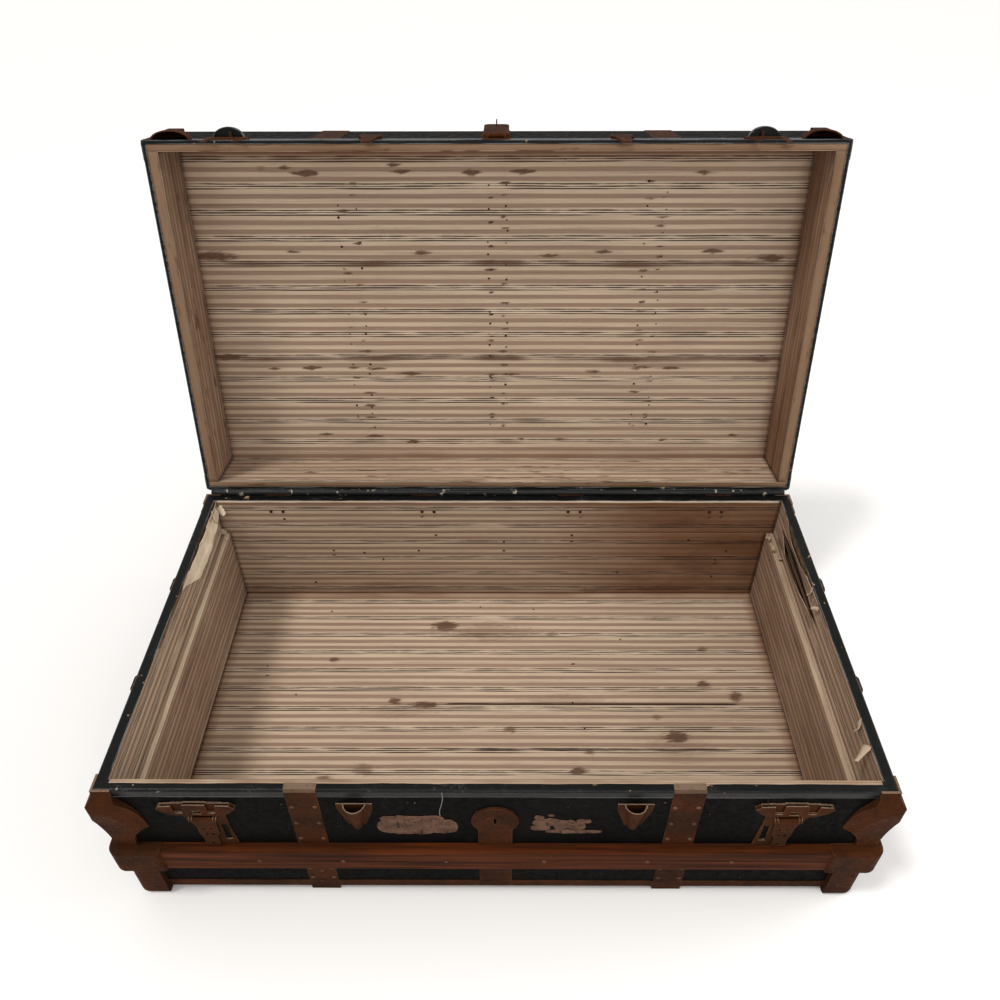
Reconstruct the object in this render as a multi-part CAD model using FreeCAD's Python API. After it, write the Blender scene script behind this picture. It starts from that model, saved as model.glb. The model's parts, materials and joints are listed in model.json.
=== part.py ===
import FreeCAD, Part
import os

# Steamer trunk: a pine box covered in painted canvas, with a lid on four back hinges.
# Frame: origin on the ground under the middle of the box, +X to the trunk's right,
# +Y to its back, +Z up. Millimetres. The lid is drawn closed and then swung open.

# ---- driving dimensions -------------------------------------------------------------
length = 914.0              # canvas-covered box, left to right
depth = 512.0               # canvas-covered box, front to back
base_height = 229.0         # base box, underside to rim
lid_height = 96.0           # lid box, rim to top
runner_height = 10.0        # the box stands this far off the ground
seam_gap = 1.2              # between the two rims when the lid is shut
box_corner_radius = 3.0     # upright corners of the covered box
lid_open_angle = 101.5      # degrees from shut to the hinges' stop

canvas = 1.0                # painted canvas glued outside the boards
board = 11.0                # pine wall boards
floor_board = 16.0          # floor planks
lid_plank = 10.0            # planks of the lid's top
lid_end_board = 16.0        # the lid's end boards are thicker than its front and back
paper = 0.8                 # striped lining paper with its size and glue
plank_gap = 0.6             # shrinkage gap between neighbouring planks

tray_board = 11.0           # boards that carry a lift-out tray at both ends
ledge_height = 170.0        # top of the papered tray ledge above the ground

binding = 1.3               # rolled steel binding, proud of the canvas
binding_drop = 13.0         # how far it runs down from the rim
binding_cap = 1.6           # its thickness over the rim
binding_width = 13.0        # how far it covers the rim inwards
binding_roll = 3.4          # radius of its rolled outer edge
bottom_binding = 1.0        # steel angle round the bottom edges
bottom_binding_rise = 14.0
bottom_binding_width = 12.0
lid_binding = 1.0           # thin binding on the lid's outer edge
lid_binding_rise = 12.0

slat_bottom = 74.0          # hardwood slats round the base
slat_height = 45.0
slat_thickness = 12.0
slat_round = 4.0
slat_end_cover = 7.0        # slats stop this far inside the box's corners
bumper_leg = 49.0           # cast bumpers where two slats meet
bumper_out = 16.0
bumper_sheet = 1.3
foot_out = 8.0              # cast shoes under the bottom corners
foot_reach = 32.0
casting_reach = 80.0        # room in which the rim corner castings are shaped
casting_edge = 2.0
casting_bulge = 14.6

band_offset = 222.0         # steel bands each side of the middle
band_width = 37.0
band_sheet = 0.8
lock_band_width = 41.0

lock_height = 175.0         # middle of the round lock plate above the ground
lock_plate_radius = 28.0
lock_plate_sheet = 2.4
lock_ring_radius = 11.0
lock_ring_rise = 0.6
lock_case_width = 44.0
lock_case_height = 38.0
lock_case_depth = 10.0
lock_case_sheet = 1.0
staple_width = 1.6          # the hasp's staple enters a slot in the lock plate
staple_height = 8.0
staple_reach = 3.4          # how far it goes in behind the front face
bolt_thickness = 1.6

latch_offset = 347.0        # the two side latches
latch_top = 214.5
notch_bottom = 197.0
latch_sheet = 1.8
latch_pocket = 5.4          # front of the notched upper part
latch_pocket_sheet = 1.1    # the upper part is a pocket of this sheet, open at its top
lever_shift = 5.0           # the levers sit this far towards the middle
lever_axis_height = 184.6
lever_axis_out = 6.0
lever_width = 24.0
lever_reach = 63.0
lever_sheet = 1.6
lever_barrel = 3.2
lever_pin = 1.4
lever_hole_reach = 58.9     # the lever's end hole drops over the knob on the lid's catch
running_gap = 0.05          # radial clearance of pins that turn

catch_out = 3.6             # plate of the lid's catch above each latch
catch_half_width = 27.0
catch_prong_width = 7.0
catch_prongs = (-24.0, 15.0)
knob_radius = 1.6
knob_out = 10.0
dome_out = 15.5             # black hood above the catch
dome_half_width = 20.5
dome_tall = 1.5             # its height over its half width
dome_foot = 10.0            # its lower edge above the lid's rim

dowel_offset = 163.0        # two dowels line the lid up on the front
socket_top = 211.0
socket_height = 48.0
socket_radius = 13.5
socket_foot_radius = 6.0
socket_wall = 1.2
tongue_tip = 200.0          # lowest point of the lid's dowel tongues
prong_tip = 206.0           # and of the prongs of its catches

handle_span = 88.0          # handle loops either side of the middle of each end
handle_axis_height = 178.0
handle_axis_out = 10.0
handle_eye = 17.0
handle_pin = 2.5
handle_ear = 5.0
handle_sleeve = 3.4         # leather round the pin
handle_drop = 50.0
handle_thickness = 5.0
handle_grip = 22.0
loop_cap_out = 16.0         # hollow-backed cap of each loop, above the pin
loop_cap_top = 217.0

hinge_places = (-347.0, -116.0, 116.0, 347.0)
hinge_width = 40.0
hinge_leaf = 1.4
hinge_out = 5.4             # pin's distance behind the back face
hinge_above_rim = 1.6       # and above the base's rim
hinge_barrel = 2.6
hinge_pin = 1.2
hinge_knuckle = 13.8        # middle knuckle, on the lid's leaf
knuckle_gap = 0.1
hinge_base_drop = 68.0      # how far the leaves run down the base and up the lid
hinge_lid_rise = 60.0

hasp_axis_height = 250.0
hasp_axis_out = 5.0
hasp_fold_angle = 178.0     # folded back on the lid's front, from hanging
hasp_reach = 88.0
hasp_width = 34.0
hasp_sheet = 1.6
hasp_barrel = 2.6
hasp_pin_radius = 1.2
hasp_knuckle = 20.0         # length of the hasp's own knuckle
hasp_leaf_width = 36.0

lid_plank_joints = (-77.0, 70.0)
floor_plank_joints = (-66.0, 13.5)
lid_slat_places = (-208.0, -92.0, 92.0, 208.0)
lid_lobe_offset = 37.0      # middle of the lobe beside each lid corner
lid_lobe_half_width = 26.0
lid_lobe_out = 13.0
lid_lobe_height = 40.0

nail_radius = 2.6
nail_rise = 1.0
end_tack_places = (-60.0, 95.0)
end_tack_radius = 8.0

# ---- places worked out from them ------------------------------------------------------
half_length = length / 2
half_depth = depth / 2
board_x = half_length - canvas
board_y = half_depth - canvas
wall_x = board_x - board
wall_y = board_y - board
box_bottom = runner_height
base_rim = box_bottom + base_height
board_top = base_rim - binding_cap
floor_under = box_bottom + canvas
floor_top = floor_under + floor_board
lid_rim = base_rim + seam_gap
lid_top = lid_rim + lid_height
lid_ceiling = lid_top - canvas - lid_plank
lid_wall_x = board_x - lid_end_board
slat_top = slat_bottom + slat_height
hinge_y = half_depth + hinge_out
hinge_z = base_rim + hinge_above_rim
tray_x = wall_x - tray_board
X_AXIS = FreeCAD.Vector(1, 0, 0)
Y_AXIS = FreeCAD.Vector(0, 1, 0)
Z_AXIS = FreeCAD.Vector(0, 0, 1)
far = 40.0                  # overshoot of cutting tools past what they cut


# ---- helpers ------------------------------------------------------------------------------
def point(x, y, z):
    return FreeCAD.Vector(x, y, z)


def block(x0, x1, y0, y1, z0, z1):
    """Box between two opposite corners."""
    return Part.makeBox(x1 - x0, y1 - y0, z1 - z0, point(x0, y0, z0))


def mirror_x(shape):
    return shape.mirror(point(0, 0, 0), X_AXIS)


def mirror_y(shape):
    return shape.mirror(point(0, 0, 0), Y_AXIS)


def left_and_right(shape):
    return [shape, mirror_x(shape)]


def four_corners(shape):
    """The shape in the front left corner and its three mirror images."""
    return [turned for side in left_and_right(shape) for turned in (side, mirror_y(side))]


def moved(shape, x=0.0, y=0.0, z=0.0):
    copy = shape.copy()
    copy.translate(point(x, y, z))
    return copy


def wire_through(points, smooth_from=None, smooth_to=None):
    """Closed outline; the points from smooth_from to smooth_to lie on one curve."""
    edges = []
    last = len(points) - 1
    index = 0
    while index < last:
        if index == smooth_from:
            curve = Part.BSplineCurve()
            curve.interpolate(points[smooth_from:smooth_to + 1])
            edges.append(curve.toShape())
            index = smooth_to
        else:
            edges.append(Part.makeLine(points[index], points[index + 1]))
            index += 1
    edges.append(Part.makeLine(points[last], points[0]))
    return Part.Wire(edges)


def plate_xz(outline, y0, y1, smooth_from=None, smooth_to=None):
    """Outline of (x, z) points, thick from y0 to y1."""
    points = [point(x, y0, z) for x, z in outline]
    face = Part.Face(wire_through(points, smooth_from, smooth_to))
    return face.extrude(point(0, y1 - y0, 0))


def plate_yz(outline, x0, x1, smooth_from=None, smooth_to=None):
    """Outline of (y, z) points, thick from x0 to x1."""
    points = [point(x0, y, z) for y, z in outline]
    face = Part.Face(wire_through(points, smooth_from, smooth_to))
    return face.extrude(point(x1 - x0, 0, 0))


def round_edges(shape, radius, wanted):
    """Fillet the edges whose end points and middle all pass the test."""
    def passes(edge):
        return all(wanted(p) for p in [v.Point for v in edge.Vertexes] + [edge.CenterOfMass])
    return shape.makeFillet(radius, [edge for edge in shape.Edges if passes(edge)])


def near(a, b):
    return abs(a - b) < 0.01


def outer_box(z0, z1):
    """The canvas-covered box between two heights, with its upright corners rounded."""
    box = block(-half_length, half_length, -half_depth, half_depth, z0, z1)
    upright = [e for e in box.Edges if near(e.Vertexes[0].X, e.Vertexes[1].X)
               and near(e.Vertexes[0].Y, e.Vertexes[1].Y)]
    return box.makeFillet(box_corner_radius, upright)


def bar_along_x(radius, x0, x1, y, z):
    return Part.makeCylinder(radius, x1 - x0, point(x0, y, z), X_AXIS)


def bar_along_y(radius, y0, y1, x, z):
    return Part.makeCylinder(radius, y1 - y0, point(x, y0, z), Y_AXIS)


def quarter_ellipsoid(half_width, out, height):
    """Quarter of an ellipsoid, standing out along -Y and up from the origin."""
    ball = Part.makeSphere(1.0, point(0, 0, 0), Z_AXIS, 0, 90, 360)
    stretch = FreeCAD.Matrix()
    stretch.A11 = half_width
    stretch.A22 = out
    stretch.A33 = height
    ball = ball.transformGeometry(stretch)
    return ball.cut(block(-far, far, 0, far, -1, height + 1))


def swing_open(shape):
    """Turn a lid part from shut to the hinges' stop."""
    turned = shape.copy()
    turned.rotate(point(0, hinge_y, hinge_z), -X_AXIS, lid_open_angle)
    return turned


def save(node, *shapes):
    shape = shapes[0] if len(shapes) == 1 else Part.makeCompound(list(shapes))
    shape.exportStep("parts/" + node + ".step")


def save_lid(node, *shapes):
    save(node, *[swing_open(shape) for shape in shapes])


# ---- base: boards, canvas, paper ---------------------------------------------------------
def lock_case_space(shrink=0.0):
    """Room in the front board for the lock's case, or the case's inside."""
    half_width = lock_case_width / 2 - shrink
    half_height = lock_case_height / 2 - shrink
    front = -half_depth - (1 if shrink else 0)
    return block(-half_width, half_width, front, -half_depth + lock_case_depth - shrink,
                 lock_height - half_height, lock_height + half_height)


def base_front_board():
    plank = block(-board_x, board_x, -board_y, -wall_y, floor_under, board_top)
    return plank.cut(lock_case_space())


def base_back_board():
    return block(-board_x, board_x, wall_y, board_y, floor_under, board_top)


def base_end_board():
    return block(-board_x, -wall_x, -wall_y, wall_y, floor_under, board_top)


def planks(x_reach, y_reach, joints, z0, z1):
    """Planks laid side by side from front to back, running left to right."""
    fronts = [-y_reach] + [y + plank_gap / 2 for y in joints]
    backs = [y - plank_gap / 2 for y in joints] + [y_reach]
    return [block(-x_reach, x_reach, y0, y1, z0, z1) for y0, y1 in zip(fronts, backs)]


def base_canvas():
    inside = block(-board_x, board_x, -board_y, board_y, floor_under, base_rim)
    return outer_box(box_bottom, board_top).cut(inside).cut(lock_case_space())


def tray_rest_board():
    return block(-wall_x, -tray_x, -wall_y, wall_y, floor_top, ledge_height - paper)


def cavity(inset, top):
    """The base's inside, wide above the tray ledge and narrower below, shrunk by inset."""
    lower = block(-tray_x + inset, tray_x - inset, -wall_y + inset, wall_y - inset,
                  floor_top + inset, top)
    upper = block(-wall_x + inset, wall_x - inset, -wall_y + inset, wall_y - inset,
                  ledge_height - paper + inset, top)
    return lower.fuse(upper).removeSplitter()


def base_wall_lining():
    sheet = cavity(0, board_top).cut(cavity(paper, board_top + far))
    floor = block(-board_x, board_x, -board_y, board_y, floor_top, floor_top + paper)
    return sheet.cut(floor)


def base_floor_lining():
    return block(-tray_x, tray_x, -wall_y, wall_y, floor_top, floor_top + paper)


# ---- base: steel edges, bands and runners --------------------------------------------------
def base_rim_binding():
    low = base_rim - binding_drop
    hoop = block(-half_length - binding, half_length + binding,
                 -half_depth - binding, half_depth, low, base_rim)
    hoop = round_edges(hoop, binding_roll, lambda p: near(p.z, base_rim))
    inside = outer_box(low - far, board_top)
    opening = block(-half_length + binding_width, half_length - binding_width,
                    -half_depth + binding_width, half_depth - binding_width,
                    low - far, base_rim + far)
    return hoop.cut(inside).cut(opening)


def outer_runner():
    half_width = band_width / 2
    return block(-band_offset - half_width, -band_offset + half_width,
                 -half_depth, half_depth, 0, box_bottom)


def centre_runner():
    half_width = band_width / 2
    return block(-half_width, half_width, -half_depth + 14, half_depth - 14, 0, box_bottom)


def base_bottom_binding():
    under = box_bottom - bottom_binding
    hoop = block(-half_length - bottom_binding, half_length + bottom_binding,
                 -half_depth - bottom_binding, half_depth + bottom_binding,
                 under, under + bottom_binding_rise)
    opening = block(-half_length + bottom_binding_width, half_length - bottom_binding_width,
                    -half_depth + bottom_binding_width, half_depth - bottom_binding_width,
                    under - far, box_bottom)
    hoop = hoop.cut(outer_box(box_bottom, base_rim)).cut(opening)
    for runner in left_and_right(outer_runner()):
        hoop = hoop.cut(runner)
    for band in front_bands() + back_bands() + [lock_band()]:
        hoop = hoop.cut(band)
    return hoop


def front_bands():
    """Steel bands over the rim and down the front to the runners' ends."""
    half_width = band_width / 2
    over_binding = binding + band_sheet
    jog = base_rim - binding_drop - 1
    edge = -half_depth
    outline = [(edge + 9, 1), (edge - band_sheet, 1), (edge - band_sheet, jog - 2),
               (edge - over_binding, jog), (edge - over_binding, base_rim - 2.0),
               (edge + 1, base_rim + band_sheet), (edge + 9, base_rim + band_sheet)]
    band = plate_yz(outline, -band_offset - half_width, -band_offset + half_width)
    box = block(-half_length, half_length, -half_depth, half_depth, 0, base_rim)
    band = band.cut(box).cut(base_rim_binding())
    return left_and_right(band)


def back_bands():
    half_width = band_width / 2
    band = block(-band_offset - half_width, -band_offset + half_width,
                 half_depth, half_depth + band_sheet, 1, base_rim - binding_drop)
    return left_and_right(band)


def lock_band():
    half_width = lock_band_width / 2
    return block(-half_width, half_width, -half_depth - band_sheet, -half_depth,
                 box_bottom, lock_height - lock_plate_radius)


# ---- base: slats and corner castings --------------------------------------------------------
def front_slat_bar():
    reach = half_length - slat_end_cover
    face = -half_depth - slat_thickness
    bar = block(-reach, reach, face, -half_depth, slat_bottom, slat_top)
    return round_edges(bar, slat_round, lambda p: near(p.y, face))


def end_slat_bar():
    reach = half_depth - slat_end_cover
    face = -half_length - slat_thickness
    bar = block(face, -half_length, -reach, reach, slat_bottom, slat_top)
    return round_edges(bar, slat_round, lambda p: near(p.x, face))


def front_slat():
    bar = front_slat_bar()
    for band in front_bands() + [lock_band()]:
        bar = bar.cut(band)
    return bar


def back_slat():
    bar = mirror_y(front_slat_bar())
    for band in back_bands():
        bar = bar.cut(band)
    return bar


def slat_corner_bumper():
    """Cast bumper where two slats meet, as a shoe over both their ends."""
    x_face = -half_length - bumper_out
    y_face = -half_depth - bumper_out
    shoe = block(x_face, -half_length + bumper_leg, y_face, -half_depth + bumper_leg,
                 slat_bottom - bumper_sheet, slat_top + bumper_sheet)
    shoe = round_edges(shoe, 14.0, lambda p: near(p.x, x_face) and near(p.y, y_face))
    shoe = round_edges(shoe, 5.5, lambda p: p.x < -half_length - 0.1 or p.y < -half_depth - 0.1)
    shoe = shoe.cut(block(-half_length, 0, -half_depth, 0, 0, base_rim))
    return shoe.cut(front_slat_bar()).cut(end_slat_bar())


def corner_plan(reach, z_low, z_high):
    """Plan of a corner casting: it bulges at the corner and thins to its edge at its reach."""
    along = [(casting_reach, casting_edge), (reach, casting_edge),
             (0.68 * reach, 0.42 * casting_bulge), (0.32 * reach, 0.86 * casting_bulge),
             (-0.4 * casting_bulge, casting_bulge)]
    front = [point(-half_length + d, -half_depth - out, z_low) for d, out in along]
    end = [point(-half_length - out, -half_depth + d, z_low) for d, out in reversed(along)]
    inner = point(-half_length + casting_reach, -half_depth + casting_reach, z_low)
    outline = [inner] + front + end
    face = Part.Face(wire_through(outline, 2, len(outline) - 2))
    return face.extrude(point(0, 0, z_high - z_low))


def corner_body(profile, outline, z_low, z_high):
    """Corner casting: profile gives how far it stands out at each height, and outline how
    far it reaches along each face."""
    inner_y = -half_depth + casting_reach
    inner_x = -half_length + casting_reach
    by_height_y = [(inner_y, z_high)] + [(-half_depth - out, z) for z, out in profile]
    by_height_y.append((inner_y, z_low))
    by_height_x = [(inner_x, z_high)] + [(-half_length - out, z) for z, out in profile]
    by_height_x.append((inner_x, z_low))
    last = len(profile)
    pillow = plate_yz(by_height_y, -half_length - far, inner_x, 1, last)
    pillow = pillow.common(plate_xz(by_height_x, -half_depth - far, inner_y, 1, last))
    pillow = pillow.common(corner_plan(max(d for _, d in outline), z_low, z_high))
    along_x = [(-half_length - far, z_high)] + [(-half_length + d, z) for z, d in outline]
    along_x.append((-half_length - far, z_low))
    along_y = [(-half_depth - far, z_high)] + [(-half_depth + d, z) for z, d in outline]
    along_y.append((-half_depth - far, z_low))
    front = plate_xz(along_x, -half_depth - far, -half_depth)
    end = plate_yz(along_y, -half_length - far, -half_length)
    return pillow.common(front.fuse(end))


def rim_corner_cap():
    """Base corner casting under the rim, with a bulging shoulder and a lobe on each face."""
    foot = slat_top + bumper_sheet
    profile = [(base_rim, 2.8), (base_rim - 8, 3.4), (base_rim - 15, 7.0), (base_rim - 22, 12.2),
               (base_rim - 30, 14.2), (base_rim - 42, 12.4), (base_rim - 70, 8.0),
               (base_rim - 98, 5.4), (foot, 4.8)]
    outline = [(base_rim, 20), (base_rim - 14, 20), (base_rim - 26, 27), (base_rim - 37, 34),
               (base_rim - 51, 39), (base_rim - 66, 42), (base_rim - 79, 44),
               (base_rim - 83, 34), (base_rim - 90, 27), (base_rim - 104, 21), (foot, 20)]
    body = corner_body(profile, outline, foot, base_rim)
    return body.cut(outer_box(0, base_rim)).cut(base_rim_binding())


def bottom_corner_cap():
    """Cast shoe under each bottom corner; it is also a foot."""
    x_face = -half_length - foot_out
    y_face = -half_depth - foot_out
    shoe = block(x_face, -half_length + foot_reach, y_face, -half_depth + foot_reach,
                 0, slat_bottom - bumper_sheet)
    shoe = round_edges(shoe, 14.0, lambda p: near(p.x, x_face) and near(p.y, y_face))
    shoe = round_edges(shoe, 7.0, lambda p: near(p.z, 0)
                       and (p.x < -half_length - 0.1 or p.y < -half_depth - 0.1))
    return shoe.cut(outer_box(box_bottom, base_rim)).cut(base_bottom_binding())


# ---- lock -------------------------------------------------------------------------------------
def lock_plate():
    """Round-headed plate on a stem, with a raised ring round the keyhole slot."""
    face = -half_depth - lock_plate_sheet
    half_width = lock_band_width / 2
    head = Part.makeCylinder(lock_plate_radius, lock_plate_sheet,
                             point(0, face, lock_height), Y_AXIS)
    stem = block(-half_width, half_width, face, -half_depth, slat_top + 0.2, lock_height)
    ring = Part.makeCylinder(lock_ring_radius, lock_ring_rise,
                             point(0, face - lock_ring_rise, lock_height), Y_AXIS)
    slot = block(-staple_width, staple_width, face - far, -half_depth + 1,
                 lock_height - staple_height * 0.75, lock_height + staple_height * 0.75)
    return head.fuse([stem, ring]).removeSplitter().cut(slot).cut(lock_band())


def lock_case():
    """Pressed case let into the front board, with a shelf that carries the bolt."""
    inner = lock_case_width / 2 - lock_case_sheet
    shelf = block(-inner, -staple_width - 1, -half_depth + 0.7 + bolt_thickness,
                  -half_depth + lock_case_depth - lock_case_sheet,
                  lock_height - 5, lock_height + 5)
    return lock_case_space().cut(lock_case_space(lock_case_sheet)).fuse(shelf)


def lock_bolt():
    """Bar that slides through the hasp's staple, drawn back (unlocked)."""
    front = -half_depth + 0.65
    bar = block(-19, -3.5, front, front + bolt_thickness, lock_height - 2, lock_height + 2)
    tail = block(-19, -15, front, front + bolt_thickness, lock_height - 8, lock_height - 2)
    return bar.fuse(tail).removeSplitter()


def hasp_hanging():
    """Hasp as it hangs with the lid shut: barrel, plate and the staple the bolt enters."""
    y = -half_depth - hasp_axis_out
    back = y + hasp_sheet / 2
    half_width = hasp_width / 2
    half_knuckle = hasp_knuckle / 2
    barrel = bar_along_x(hasp_barrel, -half_knuckle, half_knuckle, y, hasp_axis_height)
    end = hasp_axis_height - hasp_reach
    plate = block(-half_width, half_width, back - hasp_sheet, back, end, hasp_axis_height - 3.5)
    plate = round_edges(plate, 9.0, lambda p: near(p.z, end) and abs(p.x) > half_width - 0.01)
    neck = block(-half_knuckle, half_knuckle, back - hasp_sheet, back, hasp_axis_height - 5,
                 hasp_axis_height)
    staple = block(-staple_width / 2, staple_width / 2, y, -half_depth + staple_reach,
                   lock_height - staple_height / 2, lock_height + staple_height / 2)
    eye = block(-far, far, -half_depth + 0.5, -half_depth + 2.6, lock_height - 2.4,
                lock_height + 2.4)
    bore = bar_along_x(hasp_pin_radius + running_gap, -far, far, y, hasp_axis_height)
    return barrel.fuse([plate, neck, staple]).removeSplitter().cut(eye).cut(bore)


def hasp():
    folded = hasp_hanging()
    folded.rotate(point(0, -half_depth - hasp_axis_out, hasp_axis_height), -X_AXIS,
                  hasp_fold_angle)
    return folded


def hasp_leaf():
    """Fixed leaf of the hasp's hinge, with a knuckle at each side."""
    y = -half_depth - hasp_axis_out
    face = -half_depth - band_sheet
    half_width = hasp_leaf_width / 2
    inner = hasp_knuckle / 2 + 0.4
    leaf = block(-half_width, half_width, face - 1.2, face, lid_rim + 2.0, hasp_axis_height + 24)
    knuckle = bar_along_x(hasp_barrel, -half_width, -inner, y, hasp_axis_height)
    web = block(-half_width, -inner, y, face, hasp_axis_height - hasp_barrel, hasp_axis_height)
    bore = bar_along_x(hasp_pin_radius, -far, far, y, hasp_axis_height)
    leaf = leaf.fuse(left_and_right(knuckle) + left_and_right(web)).removeSplitter().cut(bore)
    return leaf.cut(lid_rim_binding())


def hasp_pin():
    half_width = hasp_leaf_width / 2
    return bar_along_x(hasp_pin_radius, -half_width, half_width, -half_depth - hasp_axis_out,
                       hasp_axis_height)


# ---- side latches ---------------------------------------------------------------------------
def latch_plate():
    """Left latch plate: notched head for the catch's prongs, and two ears for the lever."""
    face = -half_depth
    head = [(-45, 206), (-42, 211), (-27, 212), (-25, notch_bottom), (-16, notch_bottom),
            (-13, latch_top), (13, latch_top), (14, notch_bottom), (22, notch_bottom),
            (25, 213), (40, 212), (46, 206), (38, 197), (31, 192), (-25, 192), (-38, 199)]
    body = [(-27, 213), (30, 213), (31, 165), (35, 121), (-5, 121), (-9, 160), (-17, 180),
            (-27, 193)]
    head = plate_xz(head, face - latch_pocket, face)
    head = head.cut(block(-40, 40, face - latch_pocket + latch_pocket_sheet, face - latch_sheet,
                          notch_bottom - 1, latch_top + 1))
    body = plate_xz(body, face - latch_sheet, face)
    slot = plate_xz([(-5, 195.5), (5, 195.5), (6, 199), (5, 202.5), (-5, 202.5), (-6, 199)],
                    face - latch_pocket - 1, face - latch_sheet)
    window = block(21.5, 29, face - far, face + 1, 131, 166)
    axis_y = face - lever_axis_out
    ears = []
    for start in (lever_shift - lever_width / 2 - 4, lever_shift + lever_width / 2 + 0.3):
        ears.append(bar_along_x(lever_barrel, start, start + 3.7, axis_y, lever_axis_height))
        ears.append(block(start, start + 3.7, axis_y, face,
                          lever_axis_height - lever_barrel, lever_axis_height + lever_barrel))
    bore = bar_along_x(lever_pin, -far, far, axis_y, lever_axis_height)
    plate = head.fuse([body] + ears).removeSplitter().cut(slot).cut(window).cut(bore)
    return moved(plate, x=-latch_offset)


def latch_lever():
    """Left lever hanging: barrel, flat arm with four holes, and an end hole."""
    axis_y = -half_depth - lever_axis_out
    back = axis_y + lever_barrel
    x0 = lever_shift - lever_width / 2
    x1 = lever_shift + lever_width / 2
    low = lever_axis_height - lever_reach
    barrel = bar_along_x(lever_barrel, x0, x1, axis_y, lever_axis_height)
    arm = plate_xz([(x0, lever_axis_height), (x1, lever_axis_height), (x1, 150), (x1 - 4, 140),
                    (x1 - 4, low), (x0 + 3, low), (x0 + 3, 140), (x0, 150)],
                   back - lever_sheet, back)
    lever = barrel.fuse(arm).removeSplitter()
    holes = [(lever_shift - 4.5, 160), (lever_shift + 4.5, 160),
             (lever_shift - 4.0, 147), (lever_shift + 4.0, 147)]
    for x, z in holes:
        lever = lever.cut(Part.makeCylinder(2.2, far, point(x, -half_depth - far, z), Y_AXIS))
    end_hole = Part.makeCylinder(2.5, far, point(lever_shift, -half_depth - far,
                                                 lever_axis_height - lever_hole_reach), Y_AXIS)
    bore = bar_along_x(lever_pin + running_gap, -far, far, axis_y, lever_axis_height)
    return moved(lever.cut(end_hole).cut(bore), x=-latch_offset)


def latch_pin():
    x0 = lever_shift - lever_width / 2 - 4
    x1 = lever_shift + lever_width / 2 + 4
    pin = bar_along_x(lever_pin, x0, x1, -half_depth - lever_axis_out, lever_axis_height)
    return moved(pin, x=-latch_offset)


def lid_catch():
    """Plate on the lid's front with two prongs for the notches and a knob for the lever."""
    face = -half_depth
    plate = block(-catch_half_width, catch_half_width, face - catch_out, face,
                  lid_rim + 0.4, lid_rim + 9.0)
    prongs = [block(x, x + catch_prong_width, face - catch_out, face - catch_out + 1.3,
                    prong_tip, lid_rim + 1) for x in catch_prongs]
    knob = bar_along_y(knob_radius, face - knob_out, face - catch_out, lever_shift,
                       lever_axis_height + lever_hole_reach)
    catch = plate.fuse(prongs + [knob]).removeSplitter().cut(lid_rim_binding())
    return moved(catch, x=-latch_offset)


def catch_dome():
    """Black half-round hood above each catch."""
    hood = quarter_ellipsoid(dome_half_width, dome_out, dome_half_width * dome_tall)
    hood = moved(hood, -latch_offset, -half_depth, lid_rim + dome_foot)
    return hood.cut(lid_rim_binding())


# ---- dowels that line the lid up ----------------------------------------------------------------
def dowel_socket():
    """Half-cone pocket on a flange, open at the top, drawn at the middle of the front."""
    foot = socket_top - socket_height
    flange_face = -half_depth - socket_wall
    cone = Part.makeCone(socket_foot_radius, socket_radius, socket_height,
                         point(0, -half_depth, foot))
    hollow = Part.makeCone(socket_foot_radius - socket_wall, socket_radius - socket_wall,
                           socket_height, point(0, -half_depth, foot + socket_wall))
    flange = plate_xz([(-21, socket_top), (21, socket_top), (20, socket_top - 13),
                       (10, foot + 3), (-10, foot + 3), (-20, socket_top - 13)],
                      flange_face, -half_depth)
    mouth = Part.makeCylinder(socket_radius - socket_wall, socket_wall + 1,
                              point(0, -half_depth, socket_top - socket_wall))
    behind_flange = block(-far, far, flange_face, 0, 0, base_rim)
    opened = cone.fuse(flange).cut(hollow.fuse(mouth).cut(behind_flange))
    return opened.cut(block(-far, far, -half_depth, 0, 0, base_rim))


def dowel_tongue():
    """Flat tongue nailed to the lid; its tip drops into a socket."""
    outline = [(-13, lid_rim + 24), (13, lid_rim + 24), (15, lid_rim + 8), (9, lid_rim),
               (8, 215), (5, tongue_tip), (-5, tongue_tip), (-8, 215), (-9, lid_rim),
               (-15, lid_rim + 8)]
    lid_part = plate_xz(outline[:4] + outline[8:], -half_depth - 4.6, -half_depth)
    tongue = plate_xz([(-9, lid_rim + 10), (9, lid_rim + 10)] + outline[3:9],
                      -half_depth - 4.6, -half_depth - 1.9)
    return lid_part.fuse(tongue).removeSplitter()


def dowel_tongues():
    tongue = dowel_tongue().cut(lid_rim_binding())
    return [moved(tongue, x=-dowel_offset), moved(tongue, x=dowel_offset)]


# ---- end handles ------------------------------------------------------------------------------------
def handle_loop():
    """Cast bracket with two ears, at the front of the left end."""
    face = -half_length
    axis_x = face - handle_axis_out
    start = -handle_span - handle_eye / 2
    plate = block(face - 2, face, start - 5, start + handle_eye + 5,
                  handle_axis_height - 22, handle_axis_height + 22)
    ears = []
    for y in (start - 4.5, start + handle_eye + 0.5):
        ears.append(bar_along_y(handle_ear, y, y + 4, axis_x, handle_axis_height))
        ears.append(block(axis_x, face, y, y + 4,
                          handle_axis_height - handle_ear, handle_axis_height + handle_ear))
    low = handle_axis_height + 16
    cap = block(face - loop_cap_out, face, start - 5, start + handle_eye + 5, low, loop_cap_top)
    cap = round_edges(cap, 6.0, lambda p: near(p.x, face - loop_cap_out) or near(p.z, loop_cap_top))
    bore = bar_along_y(handle_pin, start - far, start + far, axis_x, handle_axis_height)
    return plate.fuse(ears + [cap]).removeSplitter().cut(bore)


def handle_pin_bar():
    start = -handle_span - handle_eye / 2
    return bar_along_y(handle_pin, start - 5, start + handle_eye + 5,
                       -half_length - handle_axis_out, handle_axis_height)


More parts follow.
